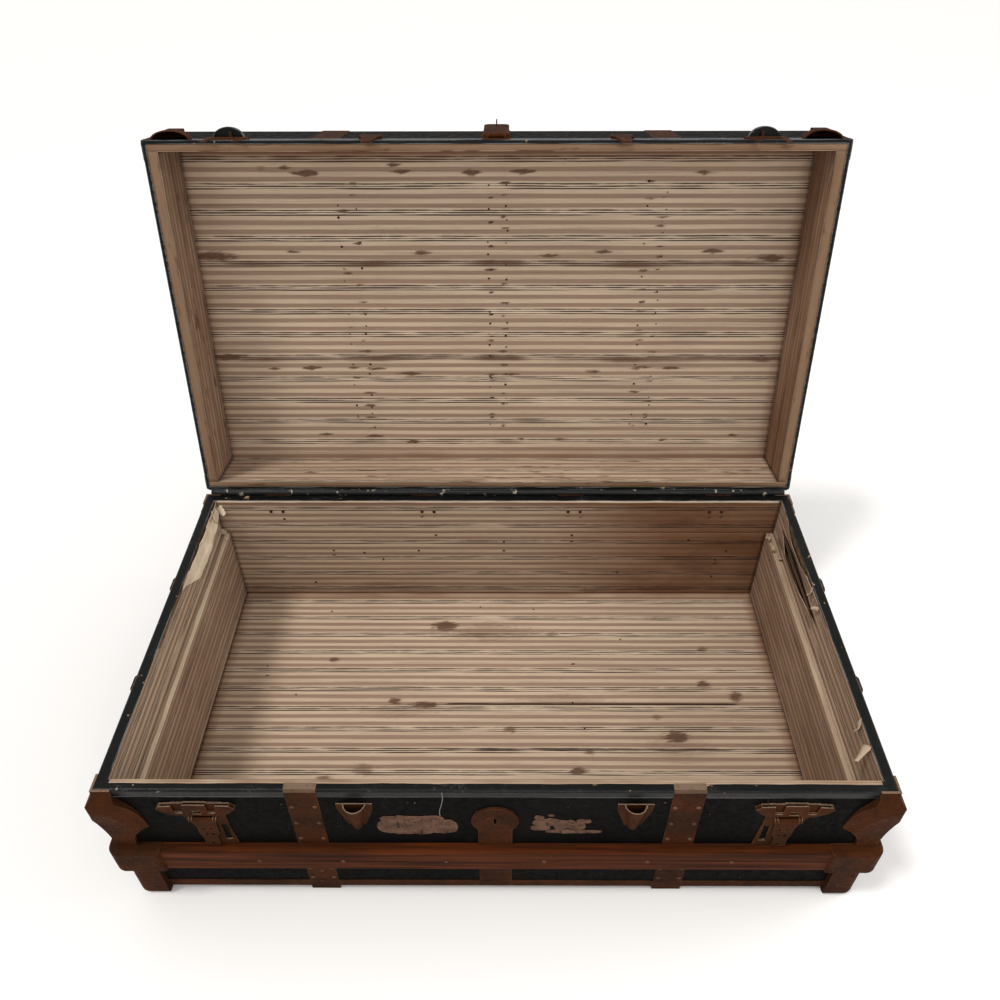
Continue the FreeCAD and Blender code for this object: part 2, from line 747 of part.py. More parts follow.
def handle_strap():
    """Leather grip hanging between the two loops of the left end, with an eye at each end."""
    axis_x = -half_length - handle_axis_out
    outside = handle_span + handle_eye / 2
    inside = handle_span - handle_eye / 2
    low = handle_axis_height - handle_drop
    grip_top = low + handle_grip
    outer = block(axis_x - handle_thickness / 2, axis_x + handle_thickness / 2,
                  -outside, outside, low, handle_axis_height)
    outer = round_edges(outer, 30.0, lambda p: near(p.z, low) and abs(p.y) > outside - 0.01)
    gap = block(axis_x - far, axis_x + far, -inside, inside, grip_top, handle_axis_height + far)
    gap = round_edges(gap, 14.0, lambda p: near(p.z, grip_top) and abs(p.y) > inside - 0.01)
    eyes = [bar_along_y(handle_pin + handle_sleeve, y, y + handle_eye, axis_x, handle_axis_height)
            for y in (-outside, inside)]
    bore = bar_along_y(handle_pin + running_gap, -outside - 1, outside + 1, axis_x,
                       handle_axis_height)
    return outer.cut(gap).fuse(eyes).removeSplitter().cut(bore)


# ---- back hinges ----------------------------------------------------------------------------------
def hinge_base_leaf(x):
    """Base leaf, bent out under the barrel, with the two outer knuckles."""
    half_width = hinge_width / 2
    half_knuckle = hinge_knuckle / 2 + knuckle_gap
    bend = hinge_z - hinge_barrel
    leaf = block(x - half_width, x + half_width, half_depth, half_depth + hinge_leaf,
                 hinge_z - hinge_base_drop, bend + hinge_leaf)
    outer = [(x - half_width, x - half_knuckle), (x + half_knuckle, x + half_width)]
    barrels = [bar_along_x(hinge_barrel, x0, x1, hinge_y, hinge_z) for x0, x1 in outer]
    necks = [block(x0, x1, half_depth, hinge_y, bend, bend + hinge_leaf) for x0, x1 in outer]
    bore = bar_along_x(hinge_pin, x - far, x + far, hinge_y, hinge_z)
    return leaf.fuse(barrels + necks).removeSplitter().cut(bore)


def hinge_lid_leaf(x):
    """Lid leaf, bent out over the barrel, with the middle knuckle."""
    half_width = hinge_width / 2
    half_knuckle = hinge_knuckle / 2
    bend = hinge_z + hinge_barrel
    leaf = block(x - half_width, x + half_width, half_depth, half_depth + hinge_leaf,
                 bend - hinge_leaf, hinge_z + hinge_lid_rise)
    barrel = bar_along_x(hinge_barrel, x - half_knuckle, x + half_knuckle, hinge_y, hinge_z)
    neck = block(x - half_knuckle, x + half_knuckle, half_depth, hinge_y, bend - hinge_leaf, bend)
    bore = bar_along_x(hinge_pin + running_gap, x - far, x + far, hinge_y, hinge_z)
    return leaf.fuse([barrel, neck]).removeSplitter().cut(bore)


def hinge_pin_bar(x):
    return bar_along_x(hinge_pin, x - hinge_width / 2, x + hinge_width / 2, hinge_y, hinge_z)


def back_joint_strips():
    """Canvas strip glued below the back rim, in lengths between the hinges and the corners."""
    gap = hinge_width / 2 + 1
    starts = [-half_length + 50] + [x + gap for x in hinge_places]
    ends = [x - gap for x in hinge_places] + [half_length - 50]
    return [block(x0, x1, half_depth, half_depth + band_sheet, base_rim - 12, base_rim - 1)
            for x0, x1 in zip(starts, ends)]


# ---- lid -------------------------------------------------------------------------------------------------
def lid_front_board():
    return block(-board_x, board_x, -board_y, -wall_y, lid_rim + paper, lid_ceiling)


def lid_end_board_solid():
    return block(-board_x, -lid_wall_x, -wall_y, wall_y, lid_rim + paper, lid_ceiling)


def lid_canvas():
    inside = block(-board_x, board_x, -board_y, board_y, lid_rim - far, lid_top - canvas)
    return outer_box(lid_rim + paper, lid_top).cut(inside)


def lid_rim_binding():
    """Thin binding round the front and ends, turned in over the rim."""
    turn_in = 4.0
    hoop = block(-half_length - lid_binding, half_length + lid_binding,
                 -half_depth - lid_binding, half_depth, lid_rim, lid_rim + lid_binding_rise)
    hoop = hoop.cut(outer_box(lid_rim + paper, lid_top))
    opening = block(-half_length + turn_in, half_length - turn_in,
                    -half_depth + turn_in, half_depth - turn_in, lid_rim - 1, lid_rim + far)
    return hoop.cut(opening)


def lid_wall_lining():
    """Paper up the four inner walls and folded out over the rim."""
    outside = block(-lid_wall_x, lid_wall_x, -wall_y, wall_y, lid_rim + paper, lid_ceiling)
    fold = block(-half_length + 4.2, half_length - 4.2, -half_depth + 4.2, half_depth - 4.2,
                 lid_rim, lid_rim + paper)
    inside = block(-lid_wall_x + paper, lid_wall_x - paper, -wall_y + paper, wall_y - paper,
                   lid_rim - 1, lid_top)
    ceiling = block(-board_x, board_x, -board_y, board_y, lid_ceiling - paper, lid_top)
    return outside.fuse(fold).cut(inside).cut(ceiling)


def lid_top_lining():
    return block(-lid_wall_x, lid_wall_x, -wall_y, wall_y, lid_ceiling - paper, lid_ceiling)


def lid_bands():
    """Three steel bands down the lid's front, over its top and down its back."""
    half_width = band_width / 2
    bands = []
    for x in (-band_offset, 0.0, band_offset):
        outside = block(x - half_width, x + half_width, -half_depth - band_sheet,
                        half_depth + band_sheet, lid_rim + lid_binding_rise + 1,
                        lid_top + band_sheet)
        inside = block(x - far, x + far, -half_depth, half_depth, lid_rim, lid_top)
        bands.append(outside.cut(inside))
    return bands


def lid_slat_bar(y):
    reach = half_length - 2
    half_width = slat_height / 2
    high = lid_top + slat_thickness
    bar = block(-reach, reach, y - half_width, y + half_width, lid_top, high)
    return round_edges(bar, slat_round, lambda p: near(p.z, high))


def lid_slat(y):
    bar = lid_slat_bar(y)
    for band in lid_bands():
        bar = bar.cut(band)
    return bar


def lid_slat_clamp(y):
    """Cast clamp over a lid slat's left end and down the end of the lid."""
    sheet = 1.3
    half_width = slat_height / 2 + sheet
    high = lid_top + slat_thickness + sheet
    face = -half_length - 4
    shoe = block(face, -half_length + 38, y - half_width, y + half_width, lid_top - 22, high)
    shoe = round_edges(shoe, 8.0, lambda p: near(p.z, high) and near(p.x, face))
    shoe = shoe.cut(block(-half_length, 0, -half_depth, half_depth, 0, lid_top))
    return shoe.cut(lid_slat_bar(y))


def lid_rim_corner_cap():
    """Thin sheet round the lid's corner above the seam, with a hollow lobe on the front."""
    sheet = 1.6
    high = lid_rim + 52
    reach = 24.0
    x_face = -half_length - sheet
    y_face = -half_depth - sheet
    cap = block(x_face, -half_length + reach, y_face, -half_depth + reach, lid_rim, high)
    cap = round_edges(cap, 5.0, lambda p: near(p.x, x_face) and near(p.y, y_face))
    cap = cap.fuse(lid_lobe(lid_lobe_half_width, lid_lobe_out, lid_lobe_height))
    inside = lid_lobe(lid_lobe_half_width - 2, lid_lobe_out - 1.5, lid_lobe_height - 2)
    shell = cap.cut(inside.cut(outer_box(lid_rim, lid_top)))
    return shell.cut(outer_box(lid_rim - far, lid_top + far)).cut(lid_rim_binding())


def lid_lobe(half_width, out, height):
    """Quarter of an ellipsoid on the lid's front, beside the left corner and over the rim."""
    lobe = quarter_ellipsoid(half_width, out, height)
    return moved(lobe, -half_length + lid_lobe_offset, -half_depth, lid_rim)


def lid_top_corner_cap():
    """Cast shoe over each top corner of the lid."""
    out = 4.0
    reach = 24.0
    x_face = -half_length - out
    y_face = -half_depth - out
    high = lid_top + out
    shoe = block(x_face, -half_length + reach, y_face, -half_depth + reach, lid_rim + 60, high)
    shoe = round_edges(shoe, 9.0, lambda p: near(p.x, x_face) and near(p.y, y_face))
    shoe = round_edges(shoe, 3.5, lambda p: near(p.z, high)
                       and (p.x < -half_length - 0.1 or p.y < -half_depth - 0.1))
    shoe = shoe.cut(outer_box(lid_rim, lid_top))
    for clamp in (lid_slat_clamp(lid_slat_places[0]), lid_slat_bar(lid_slat_places[0])):
        shoe = shoe.cut(clamp)
    return shoe


# ---- nails ---------------------------------------------------------------------------------------
def front_nail(x, z, out):
    """Nail head on the front face, standing on a surface that is out from the canvas."""
    head = Part.makeCylinder(nail_radius, nail_rise, point(x, -half_depth - out - nail_rise, z),
                             Y_AXIS)
    rim = [e for e in head.Edges if near(e.BoundBox.YMin, -half_depth - out - nail_rise)
           and near(e.BoundBox.YMax, -half_depth - out - nail_rise)]
    return head.makeFillet(0.6, rim)


def base_nails():
    nails = []
    edge = band_width / 2 - 5
    for x in (-band_offset - edge, -band_offset + edge, band_offset - edge, band_offset + edge):
        for z in (32, 56, 132, 168, 204):
            nails.append(front_nail(x, z, band_sheet))
    for x in (-187, -60, 60, 187, 290, -290):
        nails.append(front_nail(x, slat_bottom + slat_height * 0.5, slat_thickness))
    return nails + [mirror_y(nail) for nail in nails if not touches_back_strip(nail)]


def touches_back_strip(nail):
    return nail.BoundBox.ZMax > base_rim - binding_drop


def lid_nails():
    nails = []
    for y in lid_slat_places:
        for x in (-380, -222, -75, 75, 222, 380):
            head = Part.makeCylinder(nail_radius, nail_rise,
                                     point(x, y, lid_top + slat_thickness), Z_AXIS)
            top = lid_top + slat_thickness + nail_rise
            rim = [e for e in head.Edges if near(e.BoundBox.ZMin, top)]
            nails.append(head.makeFillet(0.6, rim))
    for y in end_tack_places:
        nails += left_and_right(end_tack(y))
    return nails


def end_tack(y):
    """Large domed tack on the lid's left end, just above the seam."""
    height = lid_rim + lid_binding_rise + 7
    ball = Part.makeSphere(end_tack_radius, point(-half_length + end_tack_radius / 2, y, height))
    return ball.cut(block(-half_length, 0, -half_depth, half_depth, lid_rim, lid_top))


# ---- write every node --------------------------------------------------------------------------------
def build_base():
    save("base_front_board", base_front_board())
    save("base_back_board", base_back_board())
    save("base_end_boards", *left_and_right(base_end_board()))
    save("base_floor_planks", *planks(wall_x, wall_y, floor_plank_joints, floor_under, floor_top))
    save("base_canvas", base_canvas())
    save("tray_rest_boards", *left_and_right(tray_rest_board()))
    save("base_wall_lining", base_wall_lining())
    save("base_floor_lining", base_floor_lining())
    save("base_rim_binding", base_rim_binding())
    save("base_bottom_binding", base_bottom_binding())
    save("base_bands", *front_bands() + back_bands())
    save("lock_band", lock_band())
    save("centre_runner", centre_runner())
    save("outer_runners", *left_and_right(outer_runner()))
    save("front_slat", front_slat())
    save("back_slat", back_slat())
    save("end_slats", *left_and_right(end_slat_bar()))
    save("slat_corner_bumpers", *four_corners(slat_corner_bumper()))
    save("rim_corner_caps", *four_corners(rim_corner_cap()))
    save("bottom_corner_caps", *four_corners(bottom_corner_cap()))
    save("base_nails", *base_nails())


def build_fittings():
    save("lock_plate", lock_plate())
    save("lock_case", lock_case())
    save("lock_bolt", lock_bolt())
    save("left_latch_plate", latch_plate())
    save("right_latch_plate", mirror_x(latch_plate()))
    save("left_latch_lever", latch_lever())
    save("right_latch_lever", mirror_x(latch_lever()))
    save("latch_pins", *left_and_right(latch_pin()))
    socket = dowel_socket()
    save("dowel_sockets", moved(socket, x=-dowel_offset), moved(socket, x=dowel_offset))
    save("handle_loops", *four_corners(handle_loop()))
    save("handle_pins", *four_corners(handle_pin_bar()))
    save("left_handle", handle_strap())
    save("right_handle", mirror_x(handle_strap()))
    save("hinge_base_leaves", *[hinge_base_leaf(x) for x in hinge_places])
    save("hinge_pins", *[hinge_pin_bar(x) for x in hinge_places])
    save("back_joint_strips", *back_joint_strips())


def build_lid():
    save_lid("lid_front_board", lid_front_board())
    save_lid("lid_back_board", mirror_y(lid_front_board()))
    save_lid("lid_end_boards", *left_and_right(lid_end_board_solid()))
    save_lid("lid_top_planks",
             *planks(board_x, board_y, lid_plank_joints, lid_ceiling, lid_top - canvas))
    save_lid("lid_canvas", lid_canvas())
    save_lid("lid_rim_binding", lid_rim_binding())
    save_lid("lid_wall_lining", lid_wall_lining())
    save_lid("lid_top_lining", lid_top_lining())
    save_lid("lid_bands", *lid_bands())
    save_lid("lid_slats", *[lid_slat(y) for y in lid_slat_places])
    clamps = [lid_slat_clamp(y) for y in lid_slat_places]
    save_lid("lid_slat_clamps", *clamps + [mirror_x(clamp) for clamp in clamps])
    save_lid("lid_rim_corner_caps", *four_corners(lid_rim_corner_cap()))
    save_lid("lid_top_corner_caps", *four_corners(lid_top_corner_cap()))
    save_lid("lid_catches", *left_and_right(lid_catch()))
    save_lid("catch_domes", *left_and_right(catch_dome()))
    save_lid("dowel_tongues", *dowel_tongues())
    save_lid("hinge_lid_leaves", *[hinge_lid_leaf(x) for x in hinge_places])
    save_lid("hasp_leaf", hasp_leaf())
    save_lid("hasp_pin", hasp_pin())
    save_lid("hasp", hasp())
    save_lid("lid_nails", *lid_nails())


os.makedirs("parts", exist_ok=True)
build_base()
build_fittings()
build_lid()
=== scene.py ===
import json
import math

import bpy
import numpy as np
from mathutils import Matrix, Vector


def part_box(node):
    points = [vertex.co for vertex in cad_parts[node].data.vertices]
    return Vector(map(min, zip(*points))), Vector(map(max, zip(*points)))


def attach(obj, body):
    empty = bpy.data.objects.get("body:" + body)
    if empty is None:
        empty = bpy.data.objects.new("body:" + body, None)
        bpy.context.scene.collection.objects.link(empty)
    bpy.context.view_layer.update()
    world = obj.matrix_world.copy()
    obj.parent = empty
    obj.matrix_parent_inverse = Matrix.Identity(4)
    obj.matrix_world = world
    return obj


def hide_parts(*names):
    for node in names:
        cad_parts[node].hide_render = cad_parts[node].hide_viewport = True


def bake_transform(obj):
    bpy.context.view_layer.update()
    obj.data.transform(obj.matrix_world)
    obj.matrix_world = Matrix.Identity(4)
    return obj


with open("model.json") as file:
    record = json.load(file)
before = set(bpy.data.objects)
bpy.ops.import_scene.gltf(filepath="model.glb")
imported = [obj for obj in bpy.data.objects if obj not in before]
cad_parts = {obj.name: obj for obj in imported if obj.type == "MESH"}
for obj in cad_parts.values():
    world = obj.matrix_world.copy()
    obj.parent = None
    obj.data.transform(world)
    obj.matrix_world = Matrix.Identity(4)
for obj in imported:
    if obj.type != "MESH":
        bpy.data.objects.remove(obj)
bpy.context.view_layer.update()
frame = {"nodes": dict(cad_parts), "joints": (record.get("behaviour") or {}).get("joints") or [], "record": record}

# Looks of an old steamer trunk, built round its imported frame. Metres, frame of the CAD.
# The lid is modelled shut, where its walls are upright, and then swung to where it rests.

# ---- sizes and places ----
STRIPE_PERIOD = 0.0362          # one repeat of the printed lining
PAPER = 0.0006                  # thickness of the lining paper
ROW = 0.0016                    # mesh rows across the stripes
WALL_ROW = 0.0024               # and on the base's walls
COLUMN = 0.006                  # mesh columns along the stripes
WEAVE = 7000.0                  # turns of the canvas weave, in radians for each metre
UP = (0, 0, 1)

LID_JOINT = next(j for j in frame["joints"] if j["name"] == "lid_swing")
HINGE = Vector(LID_JOINT["pos_m"])
SHUT_ANGLE = math.radians(LID_JOINT["range_deg"][0])
TO_SHUT = (Matrix.Translation(HINGE) @ Matrix.Rotation(SHUT_ANGLE, 4, LID_JOINT["axis"])
           @ Matrix.Translation(-HINGE))
TO_OPEN = TO_SHUT.inverted()

FLOOR_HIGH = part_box("base_floor_lining")[1]
WALL_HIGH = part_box("base_wall_lining")[1]
LEDGE_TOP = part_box("tray_rest_boards")[1].z + 0.0008
RIM_LOW, RIM_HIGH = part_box("base_rim_binding")
CANVAS_LOW, CANVAS_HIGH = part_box("base_canvas")
INNER_PAPER = 0.0008            # the papers' inner faces stand this far off the boards


def shut_box(node):
    """Lowest and highest corner of a lid node with the lid shut."""
    points = [TO_SHUT @ v.co for v in frame["nodes"][node].data.vertices]
    low = Vector([min(p[i] for p in points) for i in range(3)])
    high = Vector([max(p[i] for p in points) for i in range(3)])
    return low, high


PANEL_LOW, PANEL_HIGH = shut_box("lid_top_lining")
LID_PAPER_LOW, LID_PAPER_HIGH = shut_box("lid_wall_lining")
LID_RIM = LID_PAPER_LOW.z


# ---- objects ----
def added(name, data):
    """New object in the scene."""
    made = bpy.data.objects.new(name, data)
    bpy.context.scene.collection.objects.link(made)
    return made


def thicken(piece, thickness):
    """Give a sheet thickness behind its face."""
    shell = piece.modifiers.new("thickness", "SOLIDIFY")
    shell.thickness = thickness
    shell.offset = -1.0


def grid_quads(rows, columns, closed=True):
    """Quads between rows of points, where each row may close on itself."""
    quads = []
    for row in range(rows - 1):
        for k in range(columns if closed else columns - 1):
            following = (k + 1) % columns
            quads.append((row * columns + k, row * columns + following,
                          (row + 1) * columns + following, (row + 1) * columns + k))
    return quads


def end_caps(count, sides):
    """Faces that close both ends of a tube of count points."""
    return [tuple(reversed(range(sides))), tuple(range(count - sides, count))]


# ---- smooth seeded noise for mesh work ----
def lattice(i, j, seed):
    """A fixed pseudo-random number from 0 to 1 for each lattice point."""
    value = np.sin(i * 127.1 + j * 311.7 + seed * 74.7) * 43758.5453
    return value - np.floor(value)


def smooth_noise(x, y, seed):
    """Value noise from 0 to 1 that repeats nowhere and is the same each run."""
    x, y = np.broadcast_arrays(np.asarray(x, float), np.asarray(y, float))
    i, j = np.floor(x), np.floor(y)
    fx, fy = x - i, y - j
    fx, fy = fx * fx * (3 - 2 * fx), fy * fy * (3 - 2 * fy)
    low = lattice(i, j, seed) * (1 - fx) + lattice(i + 1, j, seed) * fx
    high = lattice(i, j + 1, seed) * (1 - fx) + lattice(i + 1, j + 1, seed) * fx
    return low * (1 - fy) + high * fy


def rough_noise(x, y, seed):
    """Three octaves of the same noise, from 0 to 1."""
    total = smooth_noise(x, y, seed) * 4 + smooth_noise(x * 2.1, y * 2.1, seed + 1) * 2
    return (total + smooth_noise(x * 4.3, y * 4.3, seed + 2)) / 7


def uneven(u, scale, seed):
    """Rough noise along a line."""
    return rough_noise(u * scale, 0 * u, seed)


def wavy(u, scale, seed):
    """Smooth noise along a line."""
    return smooth_noise(u * scale, 0 * u, seed)


def ease(x, start, end):
    """0 before start, 1 after end, and smooth between; start may be past end."""
    t = np.clip((x - start) / (end - start), 0, 1)
    return t * t * (3 - 2 * t)


# ---- sheets of paper ----
def edge_value(edge, u):
    return edge(u) if callable(edge) else np.full_like(u, edge)


def sheet(origin, along, across, reach, low, high, lift=None, marks=None, row=ROW,
          column=COLUMN, plain=0.0):
    """One sheet of paper as (points, quads, paper, marks). It spans u from reach[0] to
    reach[1] along the stripes and v from low to high across them, where both edges may be
    functions of u. lift raises it off its board, and marks gives (stain, dark, soil and
    painted shade).
    plain is 1 where the paper has no stripes."""
    u_count = max(2, round((reach[1] - reach[0]) / column) + 1)
    line = np.linspace(reach[0], reach[1], u_count)
    v_low, v_high = edge_value(low, line), edge_value(high, line)
    v_count = max(2, round(float(np.max(v_high - v_low)) / row) + 1)
    share = np.linspace(0, 1, v_count)[:, None]
    u = np.broadcast_to(line, (v_count, u_count)).ravel()
    v = (v_low + (v_high - v_low) * share).ravel()
    normal = Vector(along).cross(Vector(across))
    height = lift(u, v) if lift else np.zeros_like(u)
    points = (np.outer(u, along) + np.outer(v, across) + np.outer(height, normal)
              + np.array(origin))
    first = (np.arange(v_count - 1)[:, None] * u_count + np.arange(u_count - 1)).ravel()
    quads = np.stack([first, first + 1, first + u_count + 1, first + u_count], axis=1)
    paper = np.stack([u, v, np.full_like(u, plain)], axis=1)
    seen = marks(u, v) if marks else np.zeros((len(u), 3))
    return points, quads, paper, seen


def paper_piece(name, sheets, material, body, lid=False, thickness=PAPER):
    """Join sheets into one piece with thickness behind their printed faces."""
    points, quads, papers, seen, start = [], [], [], [], 0
    for co, faces, paper, marks in sheets:
        points.append(co)
        quads.append(faces + start)
        papers.append(paper)
        seen.append(marks)
        start += len(co)
    mesh = bpy.data.meshes.new(name)
    mesh.from_pydata(np.concatenate(points).tolist(), [], np.concatenate(quads).tolist())
    for label, values in (("paper", papers), ("marks", seen)):
        attribute = mesh.attributes.new(label, "FLOAT_VECTOR", "POINT")
        attribute.data.foreach_set("vector", np.concatenate(values).astype(np.float32).ravel())
    mesh.polygons.foreach_set("use_smooth", [True] * len(mesh.polygons))
    mesh.materials.append(material)
    if lid:
        mesh.transform(TO_OPEN)
    piece = added(name, mesh)
    thicken(piece, thickness)
    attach(piece, body)
    return piece


def blot(u, v, place, size, seed=3, pointed=1.15):
    """1 in the middle of a ragged spot, falling to 0 at its edge; its ends are pointed, or
    round where pointed is 2."""
    sideways = np.abs((u - place[0]) / size[0])
    upward = np.abs((v - place[1]) / size[1])
    distance = (sideways ** pointed + upward ** pointed) ** (1 / pointed)
    ragged = rough_noise(u * 220, v * 700, seed) - 0.5
    return np.clip(1.7 * (1.0 - distance + 0.9 * ragged), 0, 1)


def blots(u, v, spots, pointed=1.15):
    """Strongest of several spots given as (u, v, half length, half height, strength)."""
    total = np.zeros_like(u)
    for number, (su, sv, half_u, half_v, strength) in enumerate(spots):
        spot = blot(u, v, (su, sv), (half_u, half_v), number, pointed)
        total = np.maximum(total, strength * spot)
    return total


def crack(u, v, place, start, end, depth=1.0, width=0.0011):
    """Dark line of an open plank joint that wanders most near its start and fades at both
    ends."""
    straight = ease(u, start, start + 0.16)
    wander = (wavy(u, 22, 40) - 0.5) * (0.0045 - 0.0035 * straight)
    line = 1 - ease(np.abs(v - place - wander), width * 0.7, width * 1.8)
    present = ease(u, start, start + 0.03) * (1 - ease(u, end - 0.03, end))
    broken = 0.35 + 0.65 * ease(smooth_noise(u * 9, 0 * u + 5, 41), 0.1, 0.35)
    return depth * line * present * broken


def edge_soil_and_shade(u, v, edges, strength=0.5, reach=0.03):
    """Brown darkening towards the edges of a wall, dirt and painted shade in its corners together; edges is (u0,
    u1, v0, v1).
    """
    near = np.minimum(np.minimum(u - edges[0], edges[1] - u),
                      np.minimum(v - edges[2], edges[3] - v))
    uneven = 0.6 + 0.8 * rough_noise(u * 18, v * 18, 9)
    return np.clip(strength * (1 - ease(near, 0, reach)) * uneven, 0, 1)


def marked(stain, dark, soil_and_shade):
    """The three marks of each point of a sheet."""
    return np.stack([stain, dark, soil_and_shade], axis=1)


def soiled_and_shaded(low, spread, u_scale, v_scale, seed, stained=None):
    """Marks of uneven dirt and painted shade. stained adds stains: (strength, u scale, v scale, seed, start)."""
    def marks(u, v):
        soil_and_shade = low + spread * rough_noise(u * u_scale, v * v_scale, seed)
        if stained is None:
            return marked(0 * u, 0 * u, soil_and_shade)
        strength, stain_u, stain_v, stain_seed, start = stained
        stain = strength * ease(rough_noise(u * stain_u, v * stain_v, stain_seed), start, 0.8)
        return marked(stain, 0 * u, soil_and_shade)
    return marks


# Soil levels are set wall by wall, so they hold painted light and shade as well as dirt: the lower walls, the
# walls on the trunk's right and the lid's right wall are set darker, and the left upper wall and the lid's back
# wall lighter.
LID_LEFT_MARKS = soiled_and_shaded(0.42, 0.45, 8, 30, 17, (0.8, 40, 300, 18, 0.66))
LID_RIGHT_MARKS = soiled_and_shaded(0.70, 0.3, 8, 30, 16)
LID_FRONT_MARKS = soiled_and_shaded(0.25, 0.4, 8, 30, 19, (0.8, 30, 200, 20, 0.64))
LID_BACK_MARKS = soiled_and_shaded(0, 0.30, 8, 30, 14, (0.6, 30, 200, 20, 0.68))
RIM_FOLD_MARKS = soiled_and_shaded(0.15, 0.6, 14, 160, 27, (0.6, 40, 300, 28, 0.66))
FRONT_MARKS = soiled_and_shaded(0.18, 0.35, 9, 20, 63)
LEFT_UPPER_MARKS = soiled_and_shaded(0, 0.30, 12, 24, 64)
LEFT_LOWER_MARKS = soiled_and_shaded(0.30, 0.35, 10, 20, 69)
RIGHT_UPPER_MARKS = soiled_and_shaded(0.12, 0.4, 12, 24, 65, (0.5, 24, 70, 66, 0.66))
RIGHT_LOWER_MARKS = soiled_and_shaded(0.42, 0.35, 10, 20, 67)
LEDGE_MARKS = soiled_and_shaded(0.05, 0.35, 12, 60, 68)
PALE_MARKS = soiled_and_shaded(0.05, 0.3, 30, 60, 91)
BROWN_MARKS = soiled_and_shaded(0.45, 0.35, 20, 60, 92)
# painted shade: the paper lapped over the rim gets a high soil level, so it has the tone of lining in shadow
LAP_MARKS = soiled_and_shaded(0.55, 0.35, 22, 90, 109)


# ---- shader helpers ----
def srgb(red, green, blue):
    """Linear colour of an 8-bit screen colour."""
    def linear(value):
        share = value / 255
        return share / 12.92 if share <= 0.04045 else ((share + 0.055) / 1.055) ** 2.4
    return (linear(red), linear(green), linear(blue), 1.0)


class Finish:
    """One procedural material, with short calls that add and wire its nodes."""

    def __init__(self, name):
        self.material = bpy.data.materials.new(name)
        self.material.use_nodes = True
        self.tree = self.material.node_tree
        self.surface = self.tree.nodes["Principled BSDF"]
        self.colour = None

    def node(self, kind, settings=None, inputs=None):
        made = self.tree.nodes.new(kind)
        for key, value in (settings or {}).items():
            setattr(made, key, value)
        for key, value in (inputs or {}).items():
            self.feed(made.inputs[key], value)
        return made

    def feed(self, socket, value):
        if isinstance(value, bpy.types.NodeSocket):
            self.tree.links.new(value, socket)
        else:
            socket.default_value = value

    def set(self, **inputs):
        for key, value in inputs.items():
            self.feed(self.surface.inputs[key.replace("_", " ")], value)

    def place(self):
        return self.node("ShaderNodeTexCoord").outputs["Object"]

    def data(self, name):
        return self.node("ShaderNodeAttribute", {"attribute_name": name}).outputs["Vector"]

    def split(self, vector):
        parts = self.node("ShaderNodeSeparateXYZ", None, {"Vector": vector})
        return parts.outputs["X"], parts.outputs["Y"], parts.outputs["Z"]

    def stretched(self, vector, scale):
        return self.node("ShaderNodeMapping", None,
                         {"Vector": vector, "Scale": scale}).outputs["Vector"]

    def noise(self, vector, scale, detail=3.0, roughness=0.55):
        return self.node("ShaderNodeTexNoise", None,
                         {"Vector": vector, "Scale": scale, "Detail": detail,
                          "Roughness": roughness}).outputs["Fac"]

    def streaks(self, vector, scale, detail, roughness=0.55):
        """Noise with its own scale along each axis."""
        return self.noise(self.stretched(vector, scale), 1.0, detail, roughness)

    def cells(self, vector, scale):
        return self.node("ShaderNodeTexVoronoi", None,
                         {"Vector": vector, "Scale": scale}).outputs["Distance"]

    def math(self, operation, first, second=0.0, third=0.0):
        made = self.node("ShaderNodeMath", {"operation": operation})
        for socket, value in zip(made.inputs, (first, second, third)):
            self.feed(socket, value)
        return made.outputs["Value"]

    def times(self, first, second):
        return self.math("MULTIPLY", first, second)

    def ease(self, value, start, end, low=0.0, high=1.0):
        """Smooth step of a value from low at start to high at end."""
        made = self.node("ShaderNodeMapRange", {"interpolation_type": "SMOOTHSTEP"},
                         {"Value": value, "From Min": start, "From Max": end,
                          "To Min": low, "To Max": high})
        return made.outputs["Result"]

    def mix(self, share, first, second):
        made = self.node("ShaderNodeMix", {"data_type": "RGBA", "blend_type": "MIX"})
        self.feed(made.inputs["Factor"], share)
        colours = [s for s in made.inputs if s.type == "RGBA"]
        self.feed(colours[0], first)
        self.feed(colours[1], second)
        return next(s for s in made.outputs if s.type == "RGBA")

    def tint(self, share, colour):
        """Lay a colour over the share of the finish's colour so far."""
        self.colour = self.mix(share, self.colour, colour)

    def bump(self, height, distance, strength=1.0):
        made = self.node("ShaderNodeBump", None,
                         {"Height": height, "Distance": distance, "Strength": strength})
        self.feed(self.surface.inputs["Normal"], made.outputs["Normal"])

    def edges(self, radius):
        """1 on edges of the shape sharper than about a quarter turn, 0 on its faces."""
        rounded = self.node("ShaderNodeBevel", {"samples": 4}, {"Radius": radius})
        flat = self.node("ShaderNodeNewGeometry").outputs["Normal"]
        turned = self.node("ShaderNodeVectorMath", {"operation": "DOT_PRODUCT"})
        self.feed(turned.inputs[0], rounded.outputs["Normal"])
        self.feed(turned.inputs[1], flat)
        return self.ease(turned.outputs["Value"], 0.985, 0.86)

    def box(self, value, low, high, soft):
        """1 between low and high, with soft sides."""
        rising = self.ease(value, low - soft, low + soft)
        falling = self.ease(value, high - soft, high + soft, 1.0, 0.0)
        return self.times(rising, falling)


